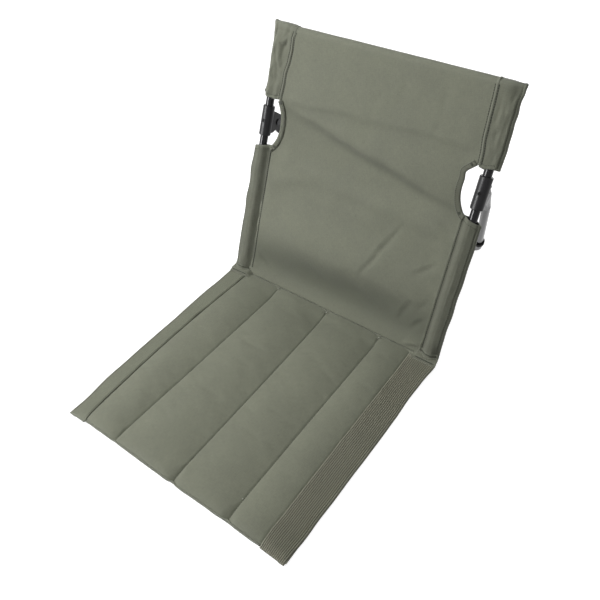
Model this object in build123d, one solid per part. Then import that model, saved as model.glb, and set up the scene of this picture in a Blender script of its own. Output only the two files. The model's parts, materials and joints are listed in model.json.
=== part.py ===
from build123d import *
import os
from math import asin, cos, radians, sin, sqrt

# Legless folding camp chair. A quilted seat lies on the ground, a cloth back on a bent tube
# frame is sewn to its rear edge, and a U-shaped rear leg props the back. The back folds
# forward on the seat and the leg folds flat behind the posts.
# Millimetres, +Z up, +Y to the rear, +X to the right as seen from the front.
# The origin is on the ground under the middle of the chair.

# Cloth and sewing
cloth = 1.6
sewn_gap = 0.3

# Seat pad
seat_width = 400.0
seat_depth = 382.0
hinge_height = 12.0
channel_count = 4
channel_pitch = 103.8
pad_crown = 14.0
pad_seam = 6.5
pad_band = 8.0
pad_edge = 2.8
end_crown = 7.0
end_seam = 5.0
end_band = 4.6
front_roll = 30.0
rear_roll = 50.0
roll_steps = 6
webbing_width = 38.0
webbing_thickness = 1.6
webbing_underlap = 12.0
foam_margin = 7.0
foam_end_margin = 12.0

# Sewn hinge: a rolled hem on the back turns in a welt on the seat
hem_radius = 3.0
hinge_play = 0.1
welt_rear_wall = 1.8
welt_lip_drop = 0.7
welt_round = 1.2

# Back frame
back_length = 410.5
back_lean = 22.0
tube_diameter = 13.0
tube_wall = 1.0
frame_bend = 45.0
tube_fit = 0.05
plug_radius = 7.5
plug_collar = 2.0
plug_stem = 14.0
plug_clearance = 0.8

# Cloth of the back
sleeve_width = 29.0
sleeve_ease = 0.3
sleeve_start = 2.0
hood_hem = 298.0
cutout_reach = 31.0
cutout_reach_rise = 262.0
cutout_top_reach = 19.5
cutout_low_reach = 18.5
cutout_low_rise = 228.0
cutout_outer_rise = 219.5
binding_width = 8.0
binding_thickness = 3.2
hollow_rise = 43.0
hollow_depth = 6.5
roll_rise = 92.0
roll_bulge = 6.0
sag_rise = 165.0
sag_depth = 4.0
panel_steps = 20
panel_bow = 0.2

# Brackets on the posts and the leg pivots
bracket_diameter = 19.0
bracket_length = 47.0
bracket_rise = 263.0
bracket_edge = 0.8
screw_diameter = 3.0
screw_head = 5.4
screw_head_height = 1.2
screw_recess = 1.6
screw_length = 7.0
screw_fit = 0.1
pivot_back = 21.0
pivot_drop = 2.0
ear_inset = 8.0
ear_thickness = 5.0
ear_radius = 9.5
ear_root = 34.0
stop_length = 8.0
stop_thickness = 4.0
stop_gap = 0.2
rivet_diameter = 6.0
rivet_fit = 0.05
rivet_head = 12.0
rivet_dome = 3.2
rivet_tail = 10.0
rivet_tail_height = 1.6
washer_diameter = 13.0
washer_thickness = 1.0
side_play = 0.2

# Rear leg
leg_splay = 34.7
foot_width = 270.0
leg_bend = 28.0
tongue_width = 18.0
tongue_thickness = 3.2
tongue_length = 22.0
flare_length = 34.0
ring_diameter = 17.5
ring_length = 9.0
ring_rise = 52.0
ring_edge = 1.0

# Worked out from the sizes above
half_width = seat_width / 2
post_x = half_width - sleeve_width / 2
tube_radius = tube_diameter / 2
lean_sin = sin(radians(back_lean))
lean_cos = cos(radians(back_lean))
sleeve_inside = tube_radius + sleeve_ease
sleeve_outside = sleeve_inside + cloth
sleeve_inner_x = post_x - sleeve_width / 2
hood_bar_rise = back_length - sleeve_outside
hood_front = -(sleeve_inside + cloth / 2)
panel_half_width = sleeve_inner_x - sewn_gap
plug_drop = hinge_height - plug_radius
pad_rear = plug_radius + plug_drop * lean_sin + plug_clearance
pivot_rise = bracket_rise - pivot_drop
ear_outer = post_x - ear_inset + ear_thickness
tongue_inner = ear_outer + washer_thickness + side_play
tongue_outer = tongue_inner + tongue_thickness
tongue_x = (tongue_inner + tongue_outer) / 2
pivot_y = pivot_rise * lean_sin + pivot_back * lean_cos
pivot_z = hinge_height + pivot_rise * lean_cos - pivot_back * lean_sin
leg_length = (pivot_z - tube_radius) / cos(radians(leg_splay))
rear_reach = pivot_y + leg_length * sin(radians(leg_splay)) + tube_radius
hinge_y = (seat_depth - rear_reach) / 2


def face_from(plane, start, *steps):
    # A step is a corner, or an arc given by its middle and its end.
    edges = []
    here = start
    for step in steps + (start,):
        if isinstance(step[0], tuple):
            middle, end = step
            edges.append(ThreePointArc(here, middle, end))
            here = end
        elif step != here:
            edges.append(Line(here, step))
            here = step
    return plane * make_face(edges)


def bar_along_x(radius, x_from, x_to, y, z):
    bar = Rot(0, 90, 0) * Cylinder(radius, x_to - x_from)
    return Pos((x_from + x_to) / 2, y, z) * bar


def bar_along_z(radius, z_from, z_to):
    return Pos(0, 0, (z_from + z_to) / 2) * Cylinder(radius, z_to - z_from)


def left_twin(shape):
    return mirror(shape, about=Plane.YZ)


# Seat

def fullness(share):
    # The pad swells over its end rolls as a quarter round.
    return sqrt(1 - (1 - share) ** 2)


def pad_stations():
    first = -seat_depth + front_roll
    last = -pad_rear - rear_roll
    shares = [1 - cos(radians(90 * step / roll_steps)) for step in range(roll_steps + 1)]
    front = [(first - front_roll * (1 - share), fullness(share)) for share in shares]
    rear = [(last + rear_roll * (1 - share), fullness(share)) for share in reversed(shares)]
    return front + rear


def swell(end, middle, full):
    return end + (middle - end) * full


def across_seat(y):
    return Plane((0, y, 0), x_dir=(1, 0, 0), z_dir=(0, -1, 0))


def cover_section(y, full):
    edge_x = half_width - webbing_thickness - sewn_gap
    band_x = half_width - webbing_width
    outer_x = (band_x + channel_pitch) / 2
    band = swell(end_band, pad_band, full)
    seam = swell(end_seam, pad_seam, full)
    crown = swell(end_crown, pad_crown, full)
    return face_from(
        across_seat(y),
        (-edge_x, cloth),
        (-edge_x, pad_edge),
        (-band_x, band),
        ((-outer_x, crown), (-channel_pitch, seam)),
        ((-channel_pitch / 2, crown), (0, seam)),
        ((channel_pitch / 2, crown), (channel_pitch, seam)),
        ((outer_x, crown), (band_x, band)),
        (edge_x, pad_edge),
        (edge_x, cloth),
    )


def foam_strip(index, grow):
    # Grown by the sewn gap it is the pocket that the strip lies in.
    band_x = half_width - webbing_width
    seams = (-band_x, -channel_pitch, 0, channel_pitch, band_x)
    left = seams[index] + foam_margin - grow
    right = seams[index + 1] - foam_margin + grow
    bottom = 2 * cloth - grow
    side = end_seam - cloth + grow
    first = -seat_depth + foam_end_margin - grow
    last = -pad_rear - foam_end_margin + grow
    full_first = -seat_depth + front_roll
    full_last = -pad_rear - rear_roll
    front_share = (first + seat_depth) / front_roll
    rear_share = (-pad_rear - last) / rear_roll
    sections = []
    for y, share in ((first, front_share), (full_first, 1), (full_last, 1), (last, rear_share)):
        top = swell(end_crown, pad_crown, fullness(share)) - cloth - sewn_gap + grow
        arc = (((left + right) / 2, top), (right, side))
        sections.append(face_from(across_seat(y), (left, bottom), (left, side), arc, (right, bottom)))
    return loft(sections, ruled=True)


def seat_cover():
    cover = loft([cover_section(y, full) for y, full in pad_stations()], ruled=True)
    for index in range(channel_count):
        cover -= foam_strip(index, sewn_gap)
    return cover


def webbing_section(y, full):
    inner_x = half_width - webbing_width
    side_x = half_width - webbing_thickness
    low_x = half_width - webbing_underlap
    band = swell(end_band, pad_band, full) + sewn_gap
    edge = pad_edge + sewn_gap
    return face_from(
        across_seat(y),
        (inner_x, band),
        (side_x, edge),
        (side_x, webbing_thickness),
        (low_x, webbing_thickness),
        (low_x, 0),
        (half_width, 0),
        (half_width, edge + webbing_thickness / 2),
        (side_x, edge + webbing_thickness),
        (inner_x, band + webbing_thickness),
    )


def seat_webbing():
    return loft([webbing_section(y, full) for y, full in pad_stations()], ruled=True)


def seat_base_panel():
    length = seat_depth - pad_rear
    width = 2 * (half_width - webbing_underlap - sewn_gap)
    return Pos(0, -pad_rear - length / 2, cloth / 2) * Box(width, length, cloth)


def hinge_welt():
    front = -pad_rear + sewn_gap
    rear = hem_radius + hinge_play + welt_rear_wall
    top = hinge_height - welt_lip_drop
    block = Pos(0, (front + rear) / 2, top / 2) * Box(2 * panel_half_width, rear - front, top)
    block = fillet(block.edges().filter_by(Axis.X), welt_round)
    return block - bar_along_x(hem_radius + hinge_play, -half_width, half_width, 0, hinge_height)


# Backrest, upright with the hinge axis on X and the posts in the plane Y = 0

def screw_bore(radius):
    bore = Rot(90, 0, 0) * Cylinder(radius, bracket_diameter)
    return Pos(post_x, -bracket_diameter / 2, bracket_rise) * bore


def back_frame():
    foot = -plug_drop + plug_collar
    corners = [(-post_x, 0, foot), (-post_x, 0, hood_bar_rise), (post_x, 0, hood_bar_rise), (post_x, 0, foot)]
    path = FilletPolyline(*corners, radius=frame_bend)
    start = Plane((-post_x, 0, foot))
    outside = sweep(start * Circle(tube_radius), path=path)
    inside = sweep(start * Circle(tube_radius - tube_wall), path=path)
    bore = screw_bore(screw_diameter / 2 + tube_fit)
    return outside - inside - bore - left_twin(bore)


def post_plug():
    stem_radius = tube_radius - tube_wall - tube_fit
    collar_top = -plug_drop + plug_collar
    top = collar_top + plug_stem
    # Facets inside a half round; the first corner is the one that stands on the ground.
    tilts = (radians(back_lean), radians(45 + back_lean / 2))
    facets = [(plug_radius * sin(tilt), -plug_drop - plug_radius * cos(tilt)) for tilt in tilts]
    profile = face_from(
        Plane.XZ,
        (0, facets[0][1]),
        *facets,
        (plug_radius, -plug_drop),
        (plug_radius, collar_top),
        (stem_radius, collar_top),
        (stem_radius, top - tube_wall),
        (stem_radius - tube_wall, top),
        (0, top),
    )
    return Pos(post_x, 0, 0) * revolve(profile, Axis.Z)


def lens_face(half_chord, rise):
    # Two shallow arcs round the right post: the flattened sleeve seen along the post.
    inner = (post_x - half_chord, 0)
    outer = (post_x + half_chord, 0)
    return face_from(Plane.XY, inner, ((post_x, -rise), outer), ((post_x, rise), inner))


def cutout_face():
    # Opening on the right, between the hood's hem, the back cloth and the sleeve's top.
    far = half_width + sleeve_width
    top = (post_x - cutout_top_reach, hood_hem)
    arc = ((post_x - cutout_reach, cutout_reach_rise), (post_x - cutout_low_reach, cutout_low_rise))
    corner = (half_width, cutout_outer_rise)
    return face_from(Plane.XZ, top, arc, corner, (far, cutout_outer_rise), (far, hood_hem))


def through_cloth(face):
    return extrude(face, amount=bracket_diameter, both=True)


def sleeve():
    outside = extrude(lens_face(sleeve_width / 2, sleeve_outside), amount=cutout_low_rise)
    inside = extrude(lens_face(sleeve_width / 2 - cloth, sleeve_inside), amount=cutout_low_rise)
    below = Box(seat_width * 2, seat_width, 2 * sleeve_start)
    return outside - inside - below - through_cloth(cutout_face())


def panel_section(rise, edge, middle, thickness):
    # Two shallow arcs; a flat place keeps a trace of bow so that it is still an arc.
    half = thickness / 2
    left = -panel_half_width
    right = panel_half_width
    bowed = middle - edge
    middle = edge + (bowed if abs(bowed) > panel_bow else panel_bow)
    front = ((0, middle - half), (right, edge - half))
    rear = ((0, middle + half), (left, edge + half))
    return face_from(Plane.XY.offset(rise), (left, edge - half), front, (right, edge + half), rear)


def eased(keys, rise):
    # A soft wave through places given as a rise and a depth.
    for (low, start), (high, end) in zip(keys, keys[1:]):
        if rise <= high:
            share = (1 - cos(radians(180) * (rise - low) / (high - low))) / 2
            return start + (end - start) * share
    return keys[-1][1]


def panel_cloth(thickness):
    # A hollow over the hinge, a roll above it, a sagging middle, then up to the hood's front.
    top = hood_hem - sewn_gap
    middle = ((0, 0), (hollow_rise, hollow_depth), (roll_rise, -roll_bulge), (sag_rise, sag_depth),
              (top, hood_front))
    edge = ((0, 0), (cutout_outer_rise, 0), (top, hood_front))
    sections = []
    for step in range(panel_steps + 1):
        rise = top * step / panel_steps
        sections.append(panel_section(rise, eased(edge, rise), eased(middle, rise), thickness))
    return loft(sections, ruled=True)


def back_panel():
    panel = panel_cloth(cloth) + bar_along_x(hem_radius, -panel_half_width, panel_half_width, 0, 0)
    opening = through_cloth(offset(cutout_face(), amount=binding_width + sewn_gap))
    return panel - opening - left_twin(opening)


def cutout_binding():
    strip = through_cloth(offset(cutout_face(), amount=binding_width)) - through_cloth(cutout_face())
    return panel_cloth(binding_thickness) & strip


def hood_form(half_chord, rise, bottom):
    # The pocket's side view run across the chair, kept where its plan view run upwards is.
    side = face_from(
        Plane.YZ, (-rise, bottom), (-rise, hood_bar_rise),
        ((0, hood_bar_rise + rise), (rise, hood_bar_rise)), (rise, bottom)
    )
    radius = (half_chord ** 2 + rise ** 2) / (2 * rise)
    turn = asin(half_chord / radius) / 2
    flank_x = post_x + radius * sin(turn)
    flank_y = rise - radius * (1 - cos(turn))
    tip_x = post_x + half_chord
    plan = face_from(
        Plane.XY, (-post_x, -rise), (post_x, -rise),
        ((flank_x, -flank_y), (tip_x, 0)), ((flank_x, flank_y), (post_x, rise)),
        (-post_x, rise), ((-flank_x, flank_y), (-tip_x, 0)), ((-flank_x, -flank_y), (-post_x, -rise))
    )
    run = extrude(side, amount=seat_width, both=True)
    return run & extrude(plan, amount=back_length + rise)


def head_hood():
    outside = hood_form(sleeve_width / 2, sleeve_outside, hood_hem)
    return outside - hood_form(sleeve_width / 2 - cloth, sleeve_inside, hood_hem - cloth)


def leg_direction(along, across):
    # A place beside the pivot, measured along the open leg and square to it.
    turn = radians(back_lean + leg_splay)
    rear = pivot_back + along * sin(turn) + across * cos(turn)
    rise = pivot_rise - along * cos(turn) + across * sin(turn)
    return rear, rise


def stop_face():
    low = tongue_width / 2 + stop_gap
    high = low + stop_thickness
    corners = ((0, low), (stop_length, low), (stop_length, high), (0, high))
    return face_from(Plane.XY, *[leg_direction(*corner) for corner in corners])


def bracket():
    # A sleeve on the post with an ear behind it; the stop on the ear holds the open leg.
    half = bracket_length / 2
    body = bar_along_z(bracket_diameter / 2, bracket_rise - half, bracket_rise + half)
    body = chamfer(body.edges(), bracket_edge)
    root = Pos(bracket_diameter / 4, pivot_rise) * Rectangle(bracket_diameter / 2, ear_root)
    knuckle = Pos(pivot_back, pivot_rise) * Circle(ear_radius)
    stop = stop_face()
    plate = make_hull(root.edges() + knuckle.edges() + stop.edges())
    ear_plane = Plane.YZ.offset(-ear_inset)
    ear = extrude(ear_plane * plate, amount=ear_thickness)
    lug = extrude(ear_plane * stop, amount=tongue_outer - post_x + ear_inset)
    body = Pos(post_x, 0, 0) * (body + ear + lug)
    post = Pos(post_x, 0, 0) * bar_along_z(tube_radius + tube_fit, 0, back_length)
    pivot = bar_along_x(rivet_diameter / 2 + rivet_fit, 0, seat_width, pivot_back, pivot_rise)
    body = body - post - pivot - screw_bore(screw_diameter / 2 + tube_fit)
    seat = Rot(90, 0, 0) * Cylinder(screw_head / 2 + screw_fit, 2 * screw_recess)
    return body - Pos(post_x, -bracket_diameter / 2, bracket_rise) * seat


def bracket_screw():
    head = bar_along_z(screw_head / 2, -screw_head_height, 0)
    shank = bar_along_z(screw_diameter / 2, -screw_length, 0)
    screw = Rot(90, 0, 0) * (head + shank)
    return Pos(post_x, -bracket_diameter / 2 + screw_recess - screw_head_height, bracket_rise) * screw


def pivot_rivet():
    inner = ear_outer - ear_thickness
    outer = tongue_outer + side_play
    shank = rivet_diameter / 2
    head = rivet_head / 2
    tail = rivet_tail / 2
    half_turn = (outer + 0.75 * rivet_dome, dome_radius_at(0.75))
    profile = face_from(
        Plane.XY,
        (inner - rivet_tail_height, 0),
        (inner - rivet_tail_height, tail),
        (inner, tail),
        (inner, shank),
        (outer, shank),
        (outer, head),
        (half_turn, (outer + rivet_dome, 0)),
    )
    return Pos(0, pivot_back, pivot_rise) * revolve(profile, Axis.X)


def dome_radius_at(share):
    # Radius of the rivet's dome at a share of its height.
    ball = ((rivet_head / 2) ** 2 + rivet_dome ** 2) / (2 * rivet_dome)
    below_top = rivet_dome * (1 - share)
    return sqrt(ball ** 2 - (ball - below_top) ** 2)


def pivot_washer():
    disc = bar_along_x(washer_diameter / 2, ear_outer, ear_outer + washer_thickness, 0, 0)
    bore = bar_along_x(rivet_diameter / 2 + rivet_fit, 0, seat_width, 0, 0)
    return Pos(0, pivot_back, pivot_rise) * (disc - bore)


# Rear leg, hanging straight down from its pivot on the X axis

def arm_top():
    return Vector(tongue_x, 0, -tongue_length)


def arm_foot():
    return Vector(foot_width / 2, 0, -leg_length)


def arm_axis():
    return (arm_foot() - arm_top()).normalized()


def four_sided(plane, half_length, half_width_there):
    corners = ((-half_length, -half_width_there), (half_length, -half_width_there),
               (half_length, half_width_there), (-half_length, half_width_there))
    return face_from(plane, *corners)


def four_arcs(plane, radius):
    reach = radius / sqrt(2)
    return face_from(
        plane, (-reach, -reach), ((0, -radius), (reach, -reach)), ((radius, 0), (reach, reach)),
        ((0, radius), (-reach, reach)), ((-radius, 0), (-reach, -reach))
    )


def flattened_end():
    # The tube pressed flat and punched for the rivet, and the flare back to its round.
    tongue = Plane.YZ * Pos(0, -tongue_length / 2) * Rectangle(tongue_width, tongue_length)
    tongue += Plane.YZ * Circle(tongue_width / 2)
    tongue -= Plane.YZ * Circle(rivet_diameter / 2 + rivet_fit)
    flat = Pos(tongue_inner, 0, 0) * extrude(tongue, amount=tongue_thickness)
    top = Plane(arm_top(), x_dir=(0, 1, 0), z_dir=(0, 0, -1))
    neck = Plane(arm_top() + arm_axis() * flare_length, x_dir=(0, 1, 0), z_dir=arm_axis())
    pressed = four_sided(top, tongue_width / 2, tongue_thickness / 2)
    flare = loft([pressed, four_arcs(neck, tube_radius)])
    return flat + flare


def rear_leg_tube():
    neck = arm_top() + arm_axis() * flare_length
    foot = arm_foot()
    corners = [neck, foot, Vector(-foot.X, 0, foot.Z), Vector(-neck.X, 0, neck.Z)]
    path = FilletPolyline(*corners, radius=leg_bend)
    start = Plane(neck, z_dir=arm_axis())
    outside = sweep(start * Circle(tube_radius), path=path)
    inside = sweep(start * Circle(tube_radius - tube_wall), path=path)
    ends = flattened_end()
    return outside - inside + ends + left_twin(ends)


def leg_ring():
    middle = arm_foot() - arm_axis() * ring_rise
    ring = Cylinder(ring_diameter / 2, ring_length)
    ring = chamfer(ring.edges(), ring_edge)
    ring -= Cylinder(tube_radius + tube_fit, 2 * ring_length)
    return Plane(middle, z_dir=arm_axis()) * ring


def pair(shape):
    return Compound([shape, left_twin(shape)])


def both_sides(name, shape):
    return {f"{name}_right": shape, f"{name}_left": left_twin(shape)}


seat_place = Pos(0, hinge_y, 0)
back_place = Pos(0, hinge_y, hinge_height) * Rot(-back_lean, 0, 0)
leg_place = Pos(0, hinge_y + pivot_y, pivot_z) * Rot(leg_splay, 0, 0)

seat = {"seat_base_panel": seat_base_panel(), "seat_cover": seat_cover(), "hinge_welt": hinge_welt()}
seat |= {f"seat_foam_{index + 1}": foam_strip(index, 0) for index in range(channel_count)}
seat |= both_sides("seat_webbing", seat_webbing())

back = {"back_frame": back_frame(), "back_panel": back_panel(), "head_hood": head_hood()}
back |= both_sides("post_plug", post_plug())
back |= both_sides("sleeve", sleeve())
back |= both_sides("cutout_binding", cutout_binding())
back |= both_sides("bracket", bracket())
back["bracket_screws"] = pair(bracket_screw())
back["pivot_rivets"] = pair(pivot_rivet())
back["pivot_washers"] = pair(pivot_washer())

leg = {"rear_leg_tube": rear_leg_tube()}
leg |= both_sides("leg_ring", leg_ring())

os.makedirs("parts", exist_ok=True)
for place, pieces in ((seat_place, seat), (back_place, back), (leg_place, leg)):
    for name, shape in pieces.items():
        export_step(place * shape, f"parts/{name}.step")
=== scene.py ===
import json
import math

import bmesh
import bpy
import numpy as np
from mathutils import Matrix, Vector
from mathutils.bvhtree import BVHTree


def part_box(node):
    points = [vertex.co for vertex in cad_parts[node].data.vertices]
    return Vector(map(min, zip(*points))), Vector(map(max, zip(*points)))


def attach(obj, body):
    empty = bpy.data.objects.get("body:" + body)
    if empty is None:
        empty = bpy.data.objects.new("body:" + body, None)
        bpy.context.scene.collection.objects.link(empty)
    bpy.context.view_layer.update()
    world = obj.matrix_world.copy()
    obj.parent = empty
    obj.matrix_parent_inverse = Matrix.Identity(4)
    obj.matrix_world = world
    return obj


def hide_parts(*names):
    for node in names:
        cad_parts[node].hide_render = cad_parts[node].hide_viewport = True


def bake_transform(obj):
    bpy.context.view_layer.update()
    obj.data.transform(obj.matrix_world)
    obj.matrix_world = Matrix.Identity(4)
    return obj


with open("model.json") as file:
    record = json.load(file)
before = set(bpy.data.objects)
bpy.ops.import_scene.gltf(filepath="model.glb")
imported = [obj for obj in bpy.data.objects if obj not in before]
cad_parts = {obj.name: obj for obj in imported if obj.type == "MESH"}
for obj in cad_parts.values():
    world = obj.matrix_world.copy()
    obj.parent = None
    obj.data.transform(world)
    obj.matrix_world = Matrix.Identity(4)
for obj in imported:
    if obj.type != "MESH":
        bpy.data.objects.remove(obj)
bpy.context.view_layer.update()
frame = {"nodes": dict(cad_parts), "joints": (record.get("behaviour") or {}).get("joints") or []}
mm = 0.001
scene = bpy.context.scene
nodes = frame["nodes"]
hinge = next(joint for joint in frame["joints"] if joint["name"] == "back_fold")["pos_m"]
hingeY, hingeZ = hinge[1] / mm, hinge[2] / mm
print("frame loaded, hinge line at", round(hingeY, 2), round(hingeZ, 2))

# the chair's own lines, in millimetres; s runs up the posts and n square to them, to the rear
lean = math.radians(22.0)
leanSin, leanCos = math.sin(lean), math.cos(lean)


def boxOf(node):
    return [np.array(corner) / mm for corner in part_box(node)]


tubeRadius = 6.5
sideNames = {1: "right", -1: "left"}
chair = {
    "halfWidth": boxOf("seat_webbing_right")[1][0],
    "front": boxOf("seat_cover")[0][1],
    "padRear": boxOf("seat_cover")[1][1],
    "postX": sum(corner[0] for corner in boxOf("post_plug_right")) / 2,
    "panelHalf": boxOf("hinge_welt")[1][0],
    "hoodHem": 298.0,
    "barRise": (boxOf("back_frame")[1][2] - tubeRadius - hingeZ) / leanCos,
    "bendRadius": 45.0,
    "hoodDepth": 7.7,
    "cutLowRise": 228.0,
    "cutOuterRise": 219.5,
    "cutLow": 167.0,
}
print("post at", round(chair["postX"], 2), "bar at", round(chair["barRise"], 2))


def onBack(x, n, s):  # a place on the back, from its own lines to the frame
    x, n, s = np.broadcast_arrays(np.asarray(x, float), n, s)
    return np.stack([x, hingeY + s * leanSin + n * leanCos, hingeZ + s * leanCos - n * leanSin], -1)


def ease(value, low, high):  # 0 below low, 1 above high, soft between
    t = np.clip((np.asarray(value, float) - low) / (high - low), 0, 1)
    return t * t * (3 - 2 * t)


def bump(value, middle, width):
    return np.exp(-((np.asarray(value, float) - middle) / width) ** 2)


def ripple(u, v, seed):  # smooth seeded noise, about -1 to 1
    table = np.random.default_rng(seed).uniform(-1, 1, (64, 64))
    u, v = np.broadcast_arrays(np.asarray(u, float), np.asarray(v, float))
    iu, iv = np.floor(u).astype(int), np.floor(v).astype(int)
    fu, fv = u - iu, v - iv
    fu, fv = fu * fu * (3 - 2 * fu), fv * fv * (3 - 2 * fv)
    a, b = table[iu % 64, iv % 64], table[(iu + 1) % 64, iv % 64]
    c, d = table[iu % 64, (iv + 1) % 64], table[(iu + 1) % 64, (iv + 1) % 64]
    return (a * (1 - fu) + b * fu) * (1 - fv) + (c * (1 - fu) + d * fu) * fv


# mesh helpers
def gridFaces(rows, cols, start=0):
    index = np.arange(rows * cols).reshape(rows, cols) + start
    quads = np.stack([index[:-1, :-1], index[:-1, 1:], index[1:, 1:], index[1:, :-1]], -1)
    return quads.reshape(-1, 4).tolist()


def tubeFaces(rows, cols, capped=True):  # a grid closed round its columns
    faces = gridFaces(rows, cols)
    for first in range(0, (rows - 1) * cols, cols):
        faces.append([first + cols - 1, first, first + cols, first + 2 * cols - 1])
    if capped:
        faces += [list(range(cols)), list(range((rows - 1) * cols, rows * cols))]
    return faces


def lengthAlong(line):  # running length of a line of points
    return np.concatenate([[0], np.cumsum(np.linalg.norm(np.diff(line, axis=0), axis=1))])


def pointsAt(at, run, line):  # points of a line at given lengths
    return np.stack([np.interp(at, run, line[:, k]) for k in range(3)], 1)


def unit(rows):
    return rows / np.maximum(np.linalg.norm(rows, axis=1, keepdims=True), 1e-9)


def readValues(items, key, width, kind):
    values = np.empty(len(items) * width, kind)
    items.foreach_get(key, values)
    return values.reshape(-1, width) if width > 1 else values


def newPiece(name, points, faces, weave, material):  # points and weave lengths in millimetres
    mesh = bpy.data.meshes.new(name)
    mesh.from_pydata((np.asarray(points).reshape(-1, 3) * mm).tolist(), [], faces)
    layer = mesh.uv_layers.new(name="weave")
    corner = readValues(mesh.loops, "vertex_index", 1, np.int32)
    flat = np.asarray(weave, float).reshape(-1, 2)[corner] * mm
    layer.data.foreach_set("uv", flat.astype(np.float32).ravel())
    mesh.materials.append(material)
    mesh.shade_smooth()
    piece = bpy.data.objects.new(name, mesh)
    scene.collection.objects.link(piece)
    return piece


def settle(piece):  # put the modifiers into the mesh
    graph = bpy.context.evaluated_depsgraph_get()
    shown = piece.evaluated_get(graph)
    mesh = bpy.data.meshes.new_from_object(shown, preserve_all_data_layers=True, depsgraph=graph)
    old = piece.data
    piece.modifiers.clear()
    piece.data = mesh
    bpy.data.meshes.remove(old)
    mesh.name = piece.name
    mesh.shade_smooth()
    return piece


def thicken(piece, thickness):
    solid = piece.modifiers.new("clothThickness", "SOLIDIFY")
    solid.thickness, solid.offset = thickness * mm, 0.0
    solid.use_even_offset = True
    return settle(piece)


def refine(piece, levels):
    finer = piece.modifiers.new("finer", "SUBSURF")
    finer.levels = finer.render_levels = levels
    return settle(piece)


def tidyFaces(piece, merge=0.0):
    work = bmesh.new()
    work.from_mesh(piece.data)
    if merge:
        bmesh.ops.remove_doubles(work, verts=work.verts, dist=merge * mm)
    bmesh.ops.recalc_face_normals(work, faces=work.faces)
    work.to_mesh(piece.data)
    work.free()
    piece.data.shade_smooth()
    return piece


# ridges come out above 0 and folds below; ridges take a paler tone, partly wear and partly painted highlight,
# and folds a darker one as painted shade
def markWearShade(piece, reach=3, paintedDarkening=None, strength=4.0):
    mesh = piece.data
    count = len(mesh.vertices)
    place, normal = (readValues(mesh.vertices, key, 3, float) for key in ("co", "normal"))
    a, b = readValues(mesh.edges, "vertices", 2, np.int32).T
    step = place[b] - place[a]
    size = np.maximum(np.linalg.norm(step, axis=1), 1e-9)
    bend, share = np.zeros(count), np.zeros(count)
    np.add.at(bend, a, -(step * normal[a]).sum(1) / size)
    np.add.at(bend, b, (step * normal[b]).sum(1) / size)
    np.add.at(share, a, 1)
    np.add.at(share, b, 1)
    bend /= np.maximum(share, 1)
    for turn in range(reach):
        spread = np.zeros(count)
        np.add.at(spread, a, bend[b])
        np.add.at(spread, b, bend[a])
        bend = 0.5 * bend + 0.5 * spread / np.maximum(share, 1)
    bend = bend * strength
    # a given painted darkening lowers the value further
    if paintedDarkening is not None:
        bend = bend - paintedDarkening(*(place.T / mm))
    wearAndShade = mesh.attributes.new("wearAndShade", "FLOAT", "POINT")
    wearAndShade.data.foreach_set("value", np.clip(bend, -1, 1).astype(np.float32))
    return piece


# materials
def newMaterial(name):
    made = bpy.data.materials.new(name)
    made.use_nodes = True
    tree = made.node_tree
    return made, tree, tree.nodes["Principled BSDF"]


def addNode(tree, kind, **settings):
    node = tree.nodes.new(kind)
    for key, value in settings.items():
        setattr(node, key, value)
    return node


def sums(tree, operation, first, second):  # a math node between sockets or numbers
    node = addNode(tree, "ShaderNodeMath", operation=operation)
    for slot, value in enumerate((first, second)):
        if isinstance(value, (int, float)):
            node.inputs[slot].default_value = value
        else:
            tree.links.new(value, node.inputs[slot])
    return node.outputs[0]


def objectPlace(tree):
    return addNode(tree, "ShaderNodeTexCoord").outputs["Object"]


def speckle(tree, source, scale, detail=2.0, rough=0.5):
    node = addNode(tree, "ShaderNodeTexNoise")
    node.inputs["Scale"].default_value = scale
    node.inputs["Detail"].default_value = detail
    node.inputs["Roughness"].default_value = rough
    tree.links.new(source, node.inputs["Vector"])
    return node.outputs["Fac"]


def ramp(tree, factor, low, high, start, end):
    node = addNode(tree, "ShaderNodeValToRGB")
    node.color_ramp.elements[0].position, node.color_ramp.elements[1].position = low, high
    node.color_ramp.elements[0].color = (*start, 1)
    node.color_ramp.elements[1].color = (*end, 1)
    tree.links.new(factor, node.inputs[0])
    return node.outputs[0]


def mixed(tree, kind, factor, first, second):
    node = addNode(tree, "ShaderNodeMix", data_type="RGBA", blend_type=kind)
    for slot, value in ((0, factor), (6, first), (7, second)):
        if isinstance(value, (int, float)):
            node.inputs[slot].default_value = value
        elif isinstance(value, tuple):
            node.inputs[slot].default_value = (*value, 1)
        else:
            tree.links.new(value, node.inputs[slot])
    return node.outputs[2]


def bumped(tree, height, distance, strength, before=None):
    node = addNode(tree, "ShaderNodeBump")
    node.inputs["Strength"].default_value = strength
    node.inputs["Distance"].default_value = distance
    tree.links.new(height, node.inputs["Height"])
    if before is not None:
        tree.links.new(before, node.inputs["Normal"])
    return node.outputs[0]


clothLook = {
    "olive": (0.191, 0.2, 0.148),
    # pale tone for ridges, partly wear and partly painted highlight; dark tone for painted shade in folds and
    # hollows
    "faded": (0.25, 0.264, 0.208),
    "grimy": (0.088, 0.096, 0.068),
    "ridgeWearLight": 0.75,  # how far ridges take the pale tone, as wear and as painted highlight
    "foldShadeShare": 0.9,  # how far folds take the dark tone, as painted shade
    "thread": 0.82,  # weave pitch, millimetres
    "cloud": 22.0,  # slow change of tone
    "cloudTone": (0.93, 1.07),
    "slub": (1300.0, 130.0),  # uneven threads, across and along
    "slubTone": (0.86, 1.14),
    "weaveTone": (0.84, 1.03),
    "roughness": 0.8,
    "roughSpread": (-0.07, 0.08),
    "crumple": (75.0, 0.0016, 0.16),  # scale, height and strength
    "weave": (0.00022, 0.55),  # height and strength
    "sheen": 0.16,
    "sheenRoughness": 0.5,
    "gloss": 0.25,
}


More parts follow.
